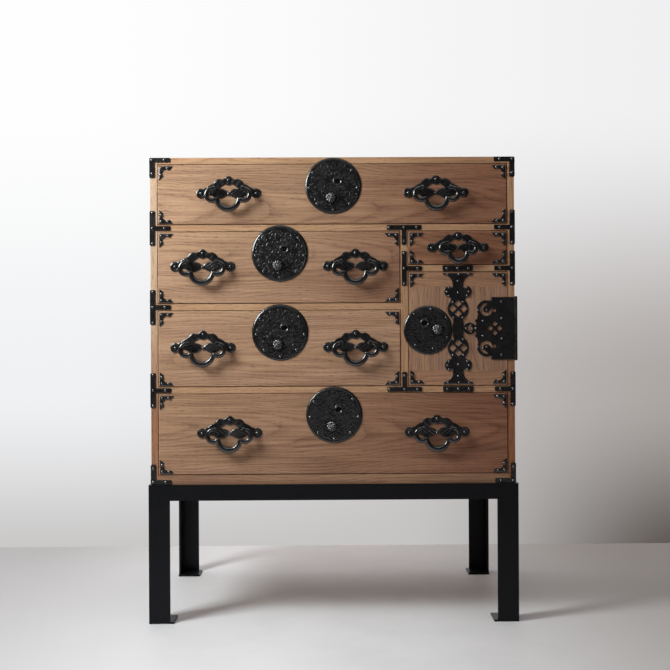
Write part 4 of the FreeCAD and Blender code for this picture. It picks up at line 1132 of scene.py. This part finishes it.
# painted light and shade: the wall is bright at the left near the window, darker to the right, and darkest
# low at the right
along = bench.ramp(spot[0], -0.70, 0.95)
low_painted_shade = bench.mixed(bench.ramp(spot[0], 0.15, 0.95), paint(196, 194, 193), paint(74, 66, 60))
middle = bench.mixed(along, paint(240, 241, 243), paint(172, 166, 163))
upper = bench.mixed(along, paint(254, 254, 254), paint(240, 240, 241))
fade = bench.mixed(bench.ramp(spot[2], -0.1, 0.42), low_painted_shade, middle)
fade = bench.mixed(bench.ramp(spot[2], 0.40, 1.15), fade, upper)
seen = bench.add("ShaderNodeLightPath").outputs["Is Camera Ray"]
front = bench.minus(1.0, bench.add("ShaderNodeNewGeometry").outputs["Backfacing"])
both = bench.wire("ShaderNodeMixShader", {
    0: bench.times(seen, front), 1: bench.wire("ShaderNodeBsdfTransparent"),
    2: bench.wire("ShaderNodeEmission", {"Color": fade})})
bench.add("ShaderNodeOutputMaterial", {"Surface": both})
wall = stage_sheet("wall", [(-3, 0.48, 0), (3, 0.48, 0), (3, 0.48, 3), (-3, 0.48, 3)], wall_with_painted_light)
wall.visible_shadow = False
print("stage: floor and wall")

# %% [markdown]
# Three lamps do the work: a window at the upper left, a wide soft ceiling, and a weak one that stands
# for the light thrown back by the wall. The world fills the shadows a little. What glossy iron mirrors
# is set apart from that fill: a dark room in front, so that the irons stay black.

# %% Light
world = bpy.data.worlds.new("studio")
bpy.context.scene.world = world
world.use_nodes = True
bench = Bench(world.node_tree)
bench.tree.nodes.clear()
path = bench.add("ShaderNodeLightPath").outputs
behind = bench.parts(bench.add("ShaderNodeTexCoord").outputs["Generated"])[1]
room = bench.mixed(bench.ramp(behind, -0.3, 0.5), (0.05, 0.05, 0.055, 1), (0.9, 0.9, 0.9, 1))
fill = bench.wire("ShaderNodeBackground", {"Color": (1.0, 0.77, 0.65, 1), "Strength": 0.13})
mirror = bench.wire("ShaderNodeBackground", {"Color": room})
white = bench.wire("ShaderNodeBackground", {"Color": (1, 1, 1, 1)})
light = bench.wire("ShaderNodeMixShader", {0: path["Is Glossy Ray"], 1: fill, 2: mirror})
seen = bench.sums("MAXIMUM", path["Is Camera Ray"], path["Is Transmission Ray"])
light = bench.wire("ShaderNodeMixShader", {0: seen, 1: light, 2: white})
bench.add("ShaderNodeOutputWorld", {"Surface": light})


def lamp(name, place, target, size, power, colour=(1, 1, 1)):
    data = bpy.data.lights.new(name, "AREA")
    data.shape, data.size, data.size_y = "RECTANGLE", size[0], size[1]
    data.energy, data.color = power, colour
    made = added(name, data)
    made.location = place
    made.rotation_euler = (Vector(target) - Vector(place)).to_track_quat("-Z", "Y").to_euler()
    return made


lamp("window", (-0.98, -0.72, 1.17), (-0.05, -0.19, 0.70), (0.40, 0.55), 19.5, (0.95, 1.0, 0.985))
lamp("ceiling", (-0.2, -0.45, 2.4), (-0.1, -0.35, 0.0), (3.2, 2.2), 21.0, (0.97, 0.98, 1.0))
bounce = lamp("wall_bounce", (-0.35, 0.46, 0.75), (-0.2, -0.6, 0.0), (1.6, 1.3), 4.5, (1.0, 0.97, 0.94))
bounce.visible_camera = bounce.visible_glossy = False
print("lamps:", len(bpy.data.lights))

# %% [markdown]
# ## The camera
# The view is square on to the front, level, from a little over two metres. Nobody sets a tripod up
# perfectly, so it is turned and rolled by less than half a degree, and a small shift centres the chest.

# %% Camera
camera_data = bpy.data.cameras.new("camera")
camera_data.lens = 53.7
camera_data.sensor_width = 36.0
camera_data.shift_x, camera_data.shift_y = -0.0079, -0.0103
camera = added("camera", camera_data)
camera.location = (0.0, -2.094, 0.559)
roll, turn = math.radians(0.29), math.radians(0.42)
ahead = Vector((math.sin(turn), math.cos(turn), 0))
level = Vector((math.cos(turn), -math.sin(turn), 0))
side = level * math.cos(roll) - Vector((0, 0, 1)) * math.sin(roll)
upward = level * math.sin(roll) + Vector((0, 0, 1)) * math.cos(roll)
camera.rotation_euler = Matrix((side, upward, -ahead)).transposed().to_euler()
bpy.context.scene.camera = camera
bpy.context.scene.view_settings.view_transform = "Standard"
print("lens:", camera_data.lens, "mm")
